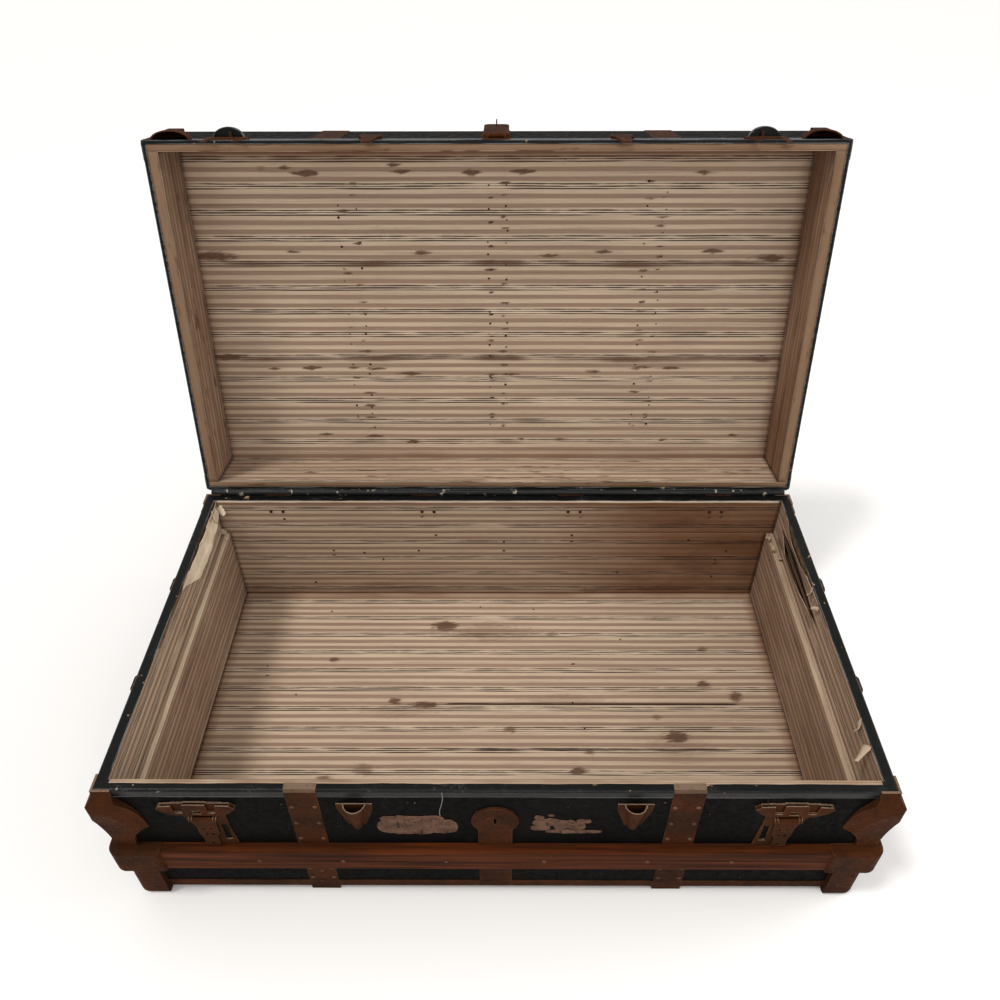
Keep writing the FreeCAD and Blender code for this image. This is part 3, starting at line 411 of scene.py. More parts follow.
# ---- materials ----
def lining_finish(name, pale, brown, line, line_strength):
    """Printed wallpaper: groups of three fine dark lines between pale and brown stripes."""
    f = Finish(name)
    paper = f.data("paper")
    u, v, plain = f.split(paper)
    stain, dark, soil_and_shade = f.split(f.data("marks"))
    wobble = f.streaks(paper, (7.0, 30.0, 0.0), 2.0)
    v_printed = f.math("MULTIPLY_ADD", f.math("SUBTRACT", wobble, 0.5), 0.0020, v)
    turn = f.math("DIVIDE", v_printed, STRIPE_PERIOD)
    t = f.math("FRACT", f.math("ADD", turn, 50.0))
    lines = None
    for number, middle in enumerate((0.035, 0.125, 0.215)):
        weight = f.streaks(paper, (8.0 + 5 * number, 45.0, 0.0), 3.0)
        off_line = f.math("ABSOLUTE", f.math("SUBTRACT", t, middle))
        half = f.ease(weight, 0.32, 0.62, 0.008, 0.028)
        one = f.ease(f.math("SUBTRACT", off_line, half), 0.009, -0.006)
        lines = one if lines is None else f.math("MAXIMUM", lines, one)
    lines = f.times(lines, line_strength)
    gaps = f.box(t, 0.01, 0.25, 0.02)
    first_stripe = f.box(t, 0.31, 0.48, 0.02)
    second_stripe = f.box(t, 0.66, 0.84, 0.02)
    stripes = f.math("MAXIMUM", first_stripe, second_stripe)
    printed = f.math("SUBTRACT", 1.0, plain)
    stripes = f.times(stripes, printed)
    lines = f.times(lines, printed)
    gaps = f.times(gaps, printed)
    fibres = f.streaks(paper, (60.0, 900.0, 0.0), 4.0, 0.7)
    patches = f.streaks(paper, (5.0, 11.0, 0.0), 4.0, 0.6)
    streaks = f.streaks(paper, (3.0, 170.0, 0.0), 4.0, 0.6)
    splits = f.ease(f.streaks(paper, (1.8, 480.0, 0.0), 1.0), 0.70, 0.76)
    splits = f.times(splits, f.ease(patches, 0.40, 0.58))
    f.colour = f.mix(stripes, pale, brown)
    f.tint(f.times(gaps, 0.45), srgb(232, 212, 188))
    f.tint(f.ease(patches, 0.35, 0.75, 0.0, 0.30), brown)
    f.tint(f.ease(streaks, 0.45, 0.75, 0.0, 0.30), line)
    f.tint(f.ease(fibres, 0.3, 0.8, 0.0, 0.16), line)
    f.tint(f.times(splits, 0.35), line)
    f.tint(lines, line)
    specks = f.cells(f.stretched(paper, (150.0, 230.0, 1.0)), 1.0)
    speck_place = f.streaks(paper, (14.0, 14.0, 1.0), 2.0)
    speck = f.times(f.ease(specks, 0.16, 0.08), f.ease(speck_place, 0.60, 0.68))
    f.tint(f.times(speck, 0.75), srgb(66, 44, 30))
    # dirt and painted shade: the marks' third level tints the paper brown and darkens its lines
    dirt_and_shade = f.mix(patches, srgb(122, 82, 52), srgb(94, 60, 38))
    soil_and_shade_share = f.times(soil_and_shade, f.ease(patches, 0.1, 0.8, 0.7, 1.0))
    f.tint(soil_and_shade_share, dirt_and_shade)
    f.tint(f.times(lines, soil_and_shade_share), line)
    rust = f.mix(f.noise(paper, 320.0), srgb(104, 74, 54), srgb(66, 44, 32))
    f.tint(f.ease(stain, 0.08, 0.8, 0.0, 0.92), rust)
    f.tint(f.ease(dark, 0.1, 0.7, 0.0, 0.95), srgb(38, 24, 16))
    f.set(Base_Color=f.colour, Roughness=f.ease(patches, 0.2, 0.8, 0.72, 0.9),
          Specular_IOR_Level=0.25)
    f.bump(f.math("MULTIPLY_ADD", lines, -0.5, fibres), 0.00022, 0.7)
    return f.material


def canvas_finish():
    """Black painted canvas, scuffed greenish white and worn through to brown in places."""
    f = Finish("painted_canvas")
    place = f.place()
    x, y, z = f.split(place)
    broad = f.noise(place, 9.0, 4.0)
    fine = f.noise(place, 120.0, 4.0, 0.7)
    scratches = f.streaks(place, (25.0, 25.0, 260.0), 4.0, 0.65)
    f.colour = f.mix(f.ease(broad, 0.3, 0.75), srgb(7, 7, 6), srgb(14, 12, 10))
    brown = f.times(f.ease(broad, 0.55, 0.8), f.ease(fine, 0.45, 0.65))
    f.tint(f.times(brown, 0.45), srgb(46, 30, 21))
    chips = f.times(f.ease(fine, 0.66, 0.72), f.ease(f.noise(place, 38.0), 0.55, 0.62))
    f.tint(f.times(chips, 0.8), srgb(122, 120, 108))
    scuffs = f.times(f.ease(scratches, 0.66, 0.74), f.ease(broad, 0.42, 0.62))
    f.tint(f.times(scuffs, 0.22), srgb(84, 86, 78))
    weave = f.times(f.math("SINE", f.times(x, WEAVE)), f.math("SINE", f.times(z, WEAVE)))
    f.set(Base_Color=f.colour, Roughness=f.ease(fine, 0.3, 0.8, 0.55, 0.85),
          Specular_IOR_Level=0.03)
    f.bump(f.math("MULTIPLY_ADD", weave, 0.12, fine), 0.0004, 0.6)
    return f.material


def steel_finish(name, base, rust, pale, metal, wear, top_wear_and_highlight=0.0, only_edges=False):
    """Rusted sheet or cast steel: blotches of rust, pits and places rubbed bright, most of
    all along edges and, by top_wear_and_highlight, on faces that look up or only on the edges
    of those, where the pale tint is rubbed metal and painted highlight together."""
    f = Finish(name)
    place = f.place()
    broad = f.noise(place, 22.0, 5.0, 0.6)
    fine = f.noise(place, 190.0, 4.0, 0.7)
    pits = f.cells(place, 420.0)
    f.colour = f.mix(f.ease(broad, 0.32, 0.68), base, rust)
    f.tint(f.ease(fine, 0.45, 0.75, 0.0, 0.5), srgb(38, 24, 18))
    rubbed = f.times(f.ease(f.noise(place, 60.0, 3.0), 1.0 - wear, 1.06 - wear),
                     f.ease(fine, 0.4, 0.6))
    edge = f.times(f.edges(0.0011), f.ease(broad, 0.38, 0.62, 0.1, 0.6))
    f.tint(f.math("MAXIMUM", f.times(rubbed, 0.6), edge), pale)
    if top_wear_and_highlight:
        # rubbed metal and painted highlight: faces that look up in the shown pose are tinted pale
        upward = f.split(f.node("ShaderNodeTexCoord").outputs["Normal"])[2]
        worn_and_lit_top = f.times(f.ease(upward, 0.6, 0.9), f.ease(fine, 0.3, 0.5, 0.5, 1.0))
        if only_edges:
            worn_and_lit_top = f.times(worn_and_lit_top, f.edges(0.0013))
        f.tint(f.times(worn_and_lit_top, top_wear_and_highlight), srgb(186, 164, 140))
    specks = f.times(f.ease(pits, 0.22, 0.12), f.ease(broad, 0.55, 0.7))
    f.tint(f.times(specks, 0.4), srgb(112, 66, 40))
    rough = f.math("MULTIPLY_ADD", rubbed, -0.2, f.ease(fine, 0.3, 0.8, 0.55, 0.85))
    f.set(Base_Color=f.colour, Metallic=metal, Roughness=rough, Specular_IOR_Level=0.03)
    f.bump(f.math("MULTIPLY_ADD", pits, 0.3, fine), 0.0006, 0.6)
    return f.material


def binding_finish():
    """Black japanned steel edge, rubbed to cool bare metal with pale chips, and a painted bluish white highlight
    along its sharp edges.
    """
    f = Finish("black_binding")
    place = f.place()
    broad = f.noise(place, 26.0, 4.0)
    fine = f.noise(place, 210.0, 4.0, 0.7)
    f.colour = f.mix(f.ease(broad, 0.3, 0.7), srgb(6, 7, 7), srgb(13, 13, 12))
    rubbed = f.times(f.ease(broad, 0.56, 0.70), f.ease(fine, 0.5, 0.64))
    f.tint(f.times(rubbed, 0.3), srgb(88, 92, 98))
    # painted highlight: a bluish white line along the binding's edges, broken up by streaks
    streaks = f.streaks(place, (14.0, 14.0, 300.0), 3.0)
    edge = f.times(f.edges(0.0018), f.ease(streaks, 0.40, 0.56, 0.05, 0.75))
    f.tint(edge, srgb(150, 154, 160))
    chips = f.times(f.ease(f.noise(place, 70.0, 2.0), 0.70, 0.73), f.ease(fine, 0.42, 0.5))
    f.tint(chips, srgb(150, 126, 98))
    f.set(Base_Color=f.colour, Roughness=f.ease(fine, 0.3, 0.8, 0.28, 0.55),
          Specular_IOR_Level=0.16)
    f.bump(f.math("MULTIPLY_ADD", rubbed, -0.4, fine), 0.0005, 0.5)
    return f.material


def wood_finish(name, pale, deep, streak, grain_scale, polish, along_y=False):
    """Wood with grain along X, or along Y."""
    f = Finish(name)
    place = f.place()
    grain, fine_grain = (4.0, 130.0, 130.0), (25.0, 900.0, 900.0)
    if along_y:
        grain, fine_grain = (130.0, 4.0, 130.0), (900.0, 25.0, 900.0)
    long_grain = f.noise(f.stretched(place, grain), grain_scale, 5.0, 0.6)
    pores = f.noise(f.stretched(place, fine_grain), grain_scale, 3.0, 0.7)
    broad = f.noise(place, 6.0, 3.0)
    f.colour = f.mix(f.ease(long_grain, 0.3, 0.7), pale, deep)
    f.tint(f.ease(long_grain, 0.62, 0.78, 0.0, 0.8), streak)
    f.tint(f.ease(pores, 0.5, 0.75, 0.0, 0.45), streak)
    f.tint(f.ease(broad, 0.45, 0.75, 0.0, 0.5), deep)
    worn = f.times(f.edges(0.003), f.ease(long_grain, 0.54, 0.64, 0.0, 0.45))
    f.tint(worn, srgb(140, 108, 80))
    f.set(Base_Color=f.colour, Roughness=f.ease(long_grain, 0.3, 0.8, polish, polish + 0.2),
          Specular_IOR_Level=0.02)
    f.bump(f.math("ADD", long_grain, f.times(pores, 0.5)), 0.0008, 0.5)
    return f.material


def leather_finish():
    """Cracked dark brown harness leather."""
    f = Finish("leather")
    place = f.place()
    crazed = f.cells(f.stretched(place, (1.0, 0.6, 1.0)), 330.0)
    broad = f.noise(place, 30.0, 4.0)
    fine = f.noise(place, 260.0, 3.0, 0.7)
    f.colour = f.mix(f.ease(broad, 0.3, 0.7), srgb(62, 36, 22), srgb(92, 56, 34))
    f.tint(f.ease(crazed, 0.42, 0.6, 0.0, 0.6), srgb(28, 17, 12))
    f.tint(f.ease(fine, 0.55, 0.75, 0.0, 0.35), srgb(128, 86, 56))
    f.set(Base_Color=f.colour, Roughness=f.ease(fine, 0.3, 0.8, 0.45, 0.7))
    f.bump(f.math("SUBTRACT", fine, crazed), 0.0008, 0.6)
    return f.material


def thread_finish():
    """Twisted off-white thread."""
    f = Finish("thread")
    twist = f.noise(f.place(), 900.0, 2.0)
    f.set(Base_Color=f.mix(twist, srgb(206, 200, 188), srgb(150, 142, 128)), Roughness=0.9)
    return f.material


PALE, BROWN, LINE = srgb(200, 178, 154), srgb(150, 126, 107), srgb(40, 26, 20)
LINING = lining_finish("lining_paper", PALE, BROWN, LINE, 0.95)
FOLD = lining_finish("fold_paper", srgb(140, 117, 94), srgb(98, 78, 60), srgb(52, 38, 30), 0.8)
TORN = lining_finish("torn_paper", srgb(234, 217, 190), srgb(186, 160, 130), LINE, 0.3)
CANVAS = canvas_finish()
BINDING = binding_finish()
RUST_TONES = (srgb(46, 26, 14), srgb(66, 35, 16), srgb(122, 88, 64), 0.0, 0.28)
RUSTED = steel_finish("rusted_steel", *RUST_TONES)
# the two finishes below tint faces that look up pale, as rubbed metal and painted highlight
WORN_LIT_TOP = steel_finish("worn_lit_top_steel", *RUST_TONES, top_wear_and_highlight=0.28)
BRIGHT_TOP = steel_finish("bright_top_steel", *RUST_TONES, top_wear_and_highlight=1.0, only_edges=True)
PLAIN_STEEL = steel_finish("plain_steel", srgb(78, 58, 46), srgb(104, 68, 44),
                           srgb(168, 146, 120), 0.4, 0.40)
SLAT_TONES = (srgb(86, 42, 18), srgb(38, 20, 11), srgb(14, 9, 7), 1.0, 0.45)
SLAT_WOOD = wood_finish("slat_wood", *SLAT_TONES)
END_SLAT_WOOD = wood_finish("end_slat_wood", *SLAT_TONES, along_y=True)
PINE = wood_finish("pine", srgb(128, 106, 82), srgb(98, 78, 58), srgb(66, 50, 37), 0.7, 0.6)
LEATHER = leather_finish()
HANDLE_THREAD = thread_finish()
NAIL_POINT = steel_finish("nail_point", srgb(46, 28, 20), srgb(62, 38, 26), srgb(70, 50, 38),
                          0.0, 0.1)

SLOT_FINISH = {"pine": PINE, "painted_canvas": CANVAS, "lining_paper": LINING,
               "black_binding": BINDING, "rusted_steel": RUSTED, "plain_steel": PLAIN_STEEL,
               "slat_wood": SLAT_WOOD, "leather": LEATHER}
# nodes that differ from the rest of their slot
NODE_FINISH = {"end_slats": END_SLAT_WOOD, "base_bands": WORN_LIT_TOP, "rim_corner_caps": WORN_LIT_TOP,
               "left_latch_plate": BRIGHT_TOP, "right_latch_plate": BRIGHT_TOP,
               "dowel_sockets": BRIGHT_TOP}


def dress_cad_nodes():
    """Give every CAD node the finish of its material slot."""
    slots = {part["node"]: part["material_slot"] for part in frame["record"]["subparts"]}
    for name, node in frame["nodes"].items():
        node.data.materials.clear()
        node.data.materials.append(NODE_FINISH.get(name, SLOT_FINISH[slots[name]]))


# ---- lid lining ----
BAND_COLUMNS = (-0.214, 0.0, 0.226)      # nails of the lid's steel bands come through here
SLAT_ROWS = (-0.208, -0.093, 0.092, 0.207)
LID_PLANK_JOINTS = (-0.077, 0.070)


def panel_spots():
    """Rust spots where nails come through the lid, on the slats' rows and bands' columns."""
    random = np.random.default_rng(12)
    spots = []
    for row in SLAT_ROWS:
        for place in np.arange(-0.36, 0.40, 0.082):
            u = place + random.uniform(-0.03, 0.03)
            if random.random() < 0.72:
                v = row + random.uniform(-0.008, 0.008)
                half = random.uniform(0.010, 0.028)
                spots.append((u, v, half, random.uniform(0.003, 0.0055),
                              random.uniform(0.7, 1.0)))
    for column in BAND_COLUMNS:
        for place in np.arange(-0.19, 0.20, 0.021):
            u = column + random.choice((-0.009, 0.011)) + random.uniform(-0.002, 0.002)
            half = random.uniform(0.004, 0.016)
            spots.append((u, place + random.uniform(-0.005, 0.005), half,
                          random.uniform(0.0020, 0.0036), random.uniform(0.6, 1.0)))
    return spots


FRONT_SPOTS = [(-0.268, -0.203, 0.030, 0.0065, 1.0), (-0.135, -0.205, 0.020, 0.005, 1),
               (-0.036, -0.204, 0.020, 0.0065, 1.0), (-0.33, -0.21, 0.01, 0.009, 0.4)]
JOINT_ENDS = [(-0.415, -0.088, 0.05, 0.012, 0.8), (-0.42, 0.068, 0.045, 0.008, 0.9),
              (0.41, 0.072, 0.05, 0.008, 0.7), (0.40, -0.085, 0.04, 0.009, 0.8)]


def panel_marks(u, v):
    """Rust spots, brown plank joints, nail holes and painted shade along the front edge of the lid's top; -v is
    its front.
    """
    stain = blots(u, v, panel_spots() + FRONT_SPOTS)
    joints = np.zeros_like(u)
    for joint in LID_PLANK_JOINTS:
        off_joint = np.abs(v - joint - 0.004 * (wavy(u, 9, 21) - 0.5))
        smear = 1 - ease(off_joint, 0.001, 0.009)
        joints = np.maximum(joints, smear * (0.25 + 0.75 * uneven(u, 16, 22)))
    stain = np.maximum(stain, np.maximum(joints * 0.9, blots(u, v, JOINT_ENDS)))
    dark = blots(u, v, [(c + s, p, 0.0022, 0.0018, 0.9) for c in BAND_COLUMNS
                        for s in (-0.009, 0.011) for p in np.arange(-0.17, 0.2, 0.034)])
    # painted shade: the band along the top's front edge is darkened through the soil level
    front_shade = 1 - ease(v, -0.234, -0.212)
    soil_and_shade = np.maximum(0.95 * front_shade,
                      edge_soil_and_shade(u, v, (-0.439, 0.439, -0.243, 0.243), 0.55, 0.02))
    left_haze = (1 - ease(u, -0.43, -0.30)) * 0.25 * rough_noise(u * 10, v * 10, 31)
    return marked(stain, dark, np.maximum(soil_and_shade, left_haze))


def plank_waves(u, v):
    """Paper over rough planks: faint ridges along the grain and a slow swell."""
    ridges = (rough_noise(u * 5, v * 130, 5) - 0.5) * 0.0007
    swell = (smooth_noise(u * 7, v * 14, 6) - 0.5) * 0.0006
    return ridges + swell + 0.0003


def lid_panel():
    """Papered underside of the lid's top."""
    half_u = PANEL_HIGH.x - 0.0002
    half_v = PANEL_HIGH.y - 0.0002
    panel = sheet((0, 0, PANEL_LOW.z), (1, 0, 0), (0, -1, 0), (-half_u, half_u),
                  -half_v, half_v, plank_waves, lambda u, v: panel_marks(u, -v))
    piece = paper_piece("lid_panel_paper", [panel], LINING, "lid", lid=True)
    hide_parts("lid_top_lining")


def wall_waves(u, v):
    """Paper of the walls, nearly flat."""
    return (rough_noise(u * 9, v * 60, 15) - 0.5) * 0.0008 + 0.0002


def lid_walls():
    """Four inner walls of the lid; gives their distances from its middle."""
    inner_x = PANEL_HIGH.x - INNER_PAPER
    inner_y = PANEL_HIGH.y - INNER_PAPER
    top = PANEL_LOW.z - 0.0004
    walls = (((-inner_x, 0), (0, 1, 0), inner_y, LID_LEFT_MARKS),
             ((inner_x, 0), (0, -1, 0), inner_y, LID_RIGHT_MARKS),
             ((0, -inner_y), (-1, 0, 0), inner_x, LID_FRONT_MARKS),
             ((0, inner_y), (1, 0, 0), inner_x, LID_BACK_MARKS))
    sheets = [sheet((*place, LID_RIM), along, UP, (-half, half), 0.0, top - LID_RIM,
                    wall_waves, marks) for place, along, half, marks in walls]
    piece = paper_piece("lid_wall_paper", sheets, LINING, "lid", lid=True)
    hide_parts("lid_wall_lining")
    return inner_x, inner_y


def lid_rim_fold(inner_x, inner_y):
    """Plain paper turned out over the lid's rim, with an uneven outer edge."""
    out_x, out_y = LID_PAPER_HIGH.x, LID_PAPER_HIGH.y
    width_x, width_y = out_x - inner_x, out_y - inner_y

    def ragged(reach, seed):
        return lambda u: reach - 0.0022 * wavy(u, 60, seed)

    def lift(u, v):
        return 0.0001 + (smooth_noise(u * 40, v * 90, 29) - 0.5) * 0.0003
    edges = (((-inner_x, 0), (0, -1, 0), (-1, 0, 0), inner_y, width_x),
             ((inner_x, 0), (0, 1, 0), (1, 0, 0), inner_y, width_x),
             ((0, -inner_y), (1, 0, 0), (0, -1, 0), out_x, width_y),
             ((0, inner_y), (-1, 0, 0), (0, 1, 0), out_x, width_y))
    sheets = []
    for number, (place, along, across, half, width) in enumerate(edges):
        sheets.append(sheet((*place, LID_RIM + PAPER), along, across, (-half, half), 0.0,
                            ragged(width, 51 + number), lift, RIM_FOLD_MARKS, 0.003, plain=1.0))
    paper_piece("lid_rim_paper", sheets, FOLD, "lid", lid=True)


# ---- base lining ----
# each spot is (u, v, half length, half height, strength)
FLOOR_STAINS = (
    (-0.086, 0.169, 0.029, 0.014, 0.9), (0.264, -0.045, 0.026, 0.016, 0.8),
    (0.366, 0.027, 0.016, 0.012, 0.7), (0.321, 0.051, 0.013, 0.011, 0.8),
    (0.117, -0.101, 0.018, 0.008, 0.9), (0.019, -0.032, 0.014, 0.008, 0.6),
    (-0.157, 0.018, 0.013, 0.009, 0.8), (-0.261, 0.098, 0.012, 0.007, 0.8),
    (0.135, -0.071, 0.012, 0.007, 0.6), (0.33, 0.12, 0.013, 0.008, 0.6),
    (-0.245, -0.115, 0.021, 0.008, 0.6), (-0.11, 0.012, 0.026, 0.008, 0.9),
    (0.09, 0.15, 0.016, 0.007, 0.5), (-0.03, 0.145, 0.014, 0.005, 0.5),
    (0.15, -0.145, 0.026, 0.012, 0.7), (-0.19, -0.1, 0.026, 0.014, 0.5),
    (-0.26, -0.16, 0.023, 0.012, 0.5), (0.24, -0.01, 0.013, 0.008, 0.5))
FLOOR_HAZE = ((-0.02, 0.155, 0.16, 0.035, 0.7), (0.10, 0.02, 0.12, 0.02, 0.7),
              (0.26, -0.06, 0.1, 0.03, 0.6), (-0.15, 0.0, 0.1, 0.02, 0.7))
FLOOR_DOTS = ((-0.365, 0.085, 0.0025, 0.002, 1.0), (-0.362, 0.066, 0.0028, 0.002, 1.0),
              (0.12, 0.09, 0.002, 0.002, 0.9), (-0.31, 0.03, 0.002, 0.002, 0.8),
              (0.2, 0.14, 0.002, 0.002, 0.9), (0.02, -0.12, 0.002, 0.002, 0.8))


def floor_joints(u, v):
    """The two open joints between the floor's planks."""
    return np.maximum(crack(u, v, 0.0135, -0.175, 0.38), 0.6 * crack(u, v, -0.066, -0.15, 0.36))


def floor_marks(u, v):
    """Damp stains, open plank joints and nail holes of the floor."""
    stain = np.maximum(blots(u, v, FLOOR_STAINS, pointed=1.8), 0.5 * blots(u, v, FLOOR_HAZE))
    dark = np.maximum(floor_joints(u, v), blots(u, v, FLOOR_DOTS))
    soil_and_shade = edge_soil_and_shade(u, v, (-0.433, 0.433, -0.243, 0.243), 0.7, 0.022)
    return marked(stain, dark, soil_and_shade)


def floor_waves(u, v):
    return plank_waves(u, v) - 0.0007 * floor_joints(u, v)


def base_floor():
    """Papered floor."""
    half_u = FLOOR_HIGH.x - INNER_PAPER
    half_v = FLOOR_HIGH.y - INNER_PAPER
    floor = sheet((0, 0, FLOOR_HIGH.z), (1, 0, 0), (0, 1, 0), (-half_u, half_u),
                  -half_v, half_v, floor_waves, floor_marks)
    piece = paper_piece("base_floor_paper", [floor], LINING, "base")
    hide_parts("base_floor_lining")


def back_marks(u, v):
    """Nail holes in pairs, and a brown that darkens the back wall's right half and its foot."""
    pairs = [(x, 0.204 + y, 0.0034, 0.0028, 1.0) for x, y in
             ((-0.358, 0), (-0.339, 0.003), (-0.121, 0.001), (-0.100, 0.0), (0.111, 0.002),
              (0.130, 0.0), (0.334, 0.0), (0.353, 0.001))]
    holes = blots(u, v, pairs + [(x, y, 0.0022, 0.0022, 1.0) for x, y in
                                 ((-0.10, 0.155), (-0.27, 0.12), (-0.22, 0.115), (0.12, 0.15),
                                  (0.01, 0.10), (0.31, 0.145), (-0.31, 0.045), (0.36, 0.10))])
    right_brown = ease(u, 0.0, 0.30) * (0.75 + 0.4 * rough_noise(u * 7, v * 12, 61))
    low_brown = (1 - ease(v, 0.03, 0.10)) * 0.30
    soil_and_shade = np.clip(np.maximum(right_brown, low_brown) + 0.05
                   + edge_soil_and_shade(u, v, (-0.444, 0.444, 0.028, 0.236), 0.3, 0.02), 0, 1.0)
    stain = 0.7 * blots(u, v, [(0.30, 0.19, 0.05, 0.02, 0.7), (0.33, 0.10, 0.06, 0.05, 0.6),
                               (-0.2, 0.05, 0.06, 0.01, 0.5), (0.16, 0.035, 0.05, 0.008, 0.7)])
    return marked(stain, holes, soil_and_shade)


def torn_top(height, depth, seed, side=1.0):
    """Torn upper edge that dips unevenly, most of all towards the back."""
    def edge(u):
        dip = ease(uneven(u, 26, seed), 0.42, 0.7)
        fine = wavy(u, 170, seed + 7) * 0.0012
        return height - depth * dip * (0.35 + 0.65 * ease(side * u, 0.0, 0.2)) - fine
    return edge


def base_walls():
    """Front, back and end walls and the two ledges a tray rests on."""
    wide = WALL_HIGH.x - INNER_PAPER
    narrow = FLOOR_HIGH.x - INNER_PAPER
    deep = WALL_HIGH.y - INNER_PAPER
    bottom = FLOOR_HIGH.z + 0.0003
    under_rim = WALL_HIGH.z - 0.0002

    def wall(place, along, half, low, high, marks, lift=wall_waves, row=WALL_ROW):
        return sheet((*place, 0), along, UP, (-half, half), low, high, lift, marks, row)
    sheets = [
        wall((0, deep), (1, 0, 0), narrow, bottom, LEDGE_TOP, back_marks),
        wall((0, deep), (1, 0, 0), wide, LEDGE_TOP, under_rim, back_marks),
        wall((0, -deep), (-1, 0, 0), narrow, bottom, LEDGE_TOP, FRONT_MARKS),
        wall((0, -deep), (-1, 0, 0), wide, LEDGE_TOP, under_rim, FRONT_MARKS),
        wall((-narrow, 0), (0, 1, 0), deep, bottom, LEDGE_TOP, LEFT_LOWER_MARKS),
        wall((narrow, 0), (0, -1, 0), deep, bottom, LEDGE_TOP, RIGHT_LOWER_MARKS)]
    sheets += [sheet((side * narrow, 0, LEDGE_TOP), (0, -side, 0), (side, 0, 0), (-deep, deep),
                     0.0, wide - narrow, wall_waves, LEDGE_MARKS, WALL_ROW, plain=0.85)
               for side in (-1, 1)]
    sheets += [
        wall((-wide, 0), (0, 1, 0), deep, LEDGE_TOP, torn_top(under_rim, 0.016, 71),
             LEFT_UPPER_MARKS, loose_left, ROW),
        wall((wide, 0), (0, -1, 0), deep, LEDGE_TOP, gap_edge(under_rim, -0.5, -0.0004),
             RIGHT_UPPER_MARKS, loose_right, ROW),
        wall((wide, 0), (0, -1, 0), deep, gap_edge(under_rim, 0.5, 0.0),
             torn_top(under_rim, 0.010, 74, -1.0), RIGHT_UPPER_MARKS, loose_upper, ROW)]
    piece = paper_piece("base_wall_paper", sheets, LINING, "base")
    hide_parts("base_wall_lining")


def loose_left(u, v):
    """The left wall's paper has let go of its board near the back."""
    away = ease(v, LEDGE_TOP + 0.015, WALL_HIGH.z)
    return wall_waves(u, v) + away * 0.006 * rough_noise(u * 20, v * 30, 77) * ease(u, 0.02, 0.2)


def gap_shape(u):
    """Height of the long split in the right wall's paper, widest in the wall's back half;
    u runs from the back to the front."""
    return 0.019 * ease(-u, 0.0, 0.13) * (1 - ease(-u, 0.15, 0.215))


def gap_middle(top):
    return LEDGE_TOP + 0.55 * (top - LEDGE_TOP)


def gap_edge(top, share, shift):
    """Ragged edge of the split, a share of its height from its middle, moved by shift."""
    def edge(u):
        ragged = (uneven(u, 60, 81) - 0.5) * 0.003
        return gap_middle(top) + gap_shape(u) * share + ragged + shift
    return edge


def loose_right(u, v):
    """Paper below the split leans in off its board."""
    away = ease(v, LEDGE_TOP + 0.006, gap_middle(WALL_HIGH.z))
    return wall_waves(u, v) + away * gap_shape(u) * 0.45


def loose_upper(u, v):
    top = 1 - ease(v, gap_middle(WALL_HIGH.z), WALL_HIGH.z)
    return wall_waves(u, v) + 0.25 * gap_shape(u) * (1 - top)


# ---- torn and loose paper ----
def curl_strip(root, along, outward, length, width, radius, turn, taper=0.6, steps=14):
    """Torn ribbon of paper that leaves its root and curls up; points and quads as a sheet.
    It runs along for its length while it turns by an angle towards outward."""
    along, outward = Vector(along).normalized(), Vector(outward).normalized()
    side = along.cross(outward)
    points, papers = [], []
    for step in range(steps + 1):
        share = step / steps
        angle = turn * share
        run = length * (1 - turn / 9) * share
        place = Vector(root) + along * (run * math.cos(angle * 0.5))
        place += outward * (radius * (1 - math.cos(angle)) + 0.0006)
        half = width * (1 - taper * share) / 2
        half *= 0.8 + 0.4 * float(smooth_noise(share * 7, 0, round(length * 9000)))
        for across in (-1, 0, 1):
            bow = outward * (0.0012 * (1 - across * across))
            points.append(place + side * (half * across) + bow)
            papers.append((run, half * across, 0.7))
    quads = grid_quads(steps + 1, 3, closed=False)
    soil_and_shade = 0.55 if root[0] > 0 else 0.1      # browner on the trunk's right
    seen = np.tile((0.0, 0.0, soil_and_shade), (len(points), 1))
    return np.array(points), np.array(quads), np.array(papers), seen


def left_flap():
    """The left wall's torn top, folded back on itself as a crumpled pale flap."""
    wide = WALL_HIGH.x - INNER_PAPER
    top = WALL_HIGH.z - 0.0012
    start, end = 0.055, 0.232

    def low_edge(u):
        fold = 0.021 * ease(u, start, start + 0.05) * (1 - 0.45 * ease(u, 0.12, end))
        return top - 0.0015 - fold + 0.008 * (uneven(u, 42, 93) - 0.5)

    def lift(u, v):
        crumple = 0.0070 * np.abs(rough_noise(u * 30, v * 55, 94) - 0.5)
        stands_off = 0.010 * ease(u, start, start + 0.06) * (1 - ease(v, top - 0.022, top))
        return 0.0022 + crumple + stands_off
    return sheet((-wide, 0, 0), (0, 1, 0), UP, (start, end), low_edge, top, lift,
                 PALE_MARKS, column=0.003, plain=1.0)


def ledge_edges():
    """Paper rubbed pale and lifting along the inner edges of both tray ledges."""
    narrow = FLOOR_HIGH.x - INNER_PAPER
    deep = WALL_HIGH.y - INNER_PAPER - 0.002
    sheets = []
    for side, seed, marks in ((-1, 95, PALE_MARKS), (1, 96, BROWN_MARKS)):
        def ragged(u, seed=seed):
            return 0.0045 + 0.0035 * uneven(u, 30, seed)

        def lift(u, v, seed=seed):
            return 0.0008 + 0.0012 * rough_noise(u * 26, v * 60, seed + 4)
        sheets.append(sheet((side * narrow, 0, LEDGE_TOP), (0, -side, 0), (side, 0, 0),
                            (-deep, deep), -0.0006, ragged, lift, marks, plain=1.0))
    return sheets


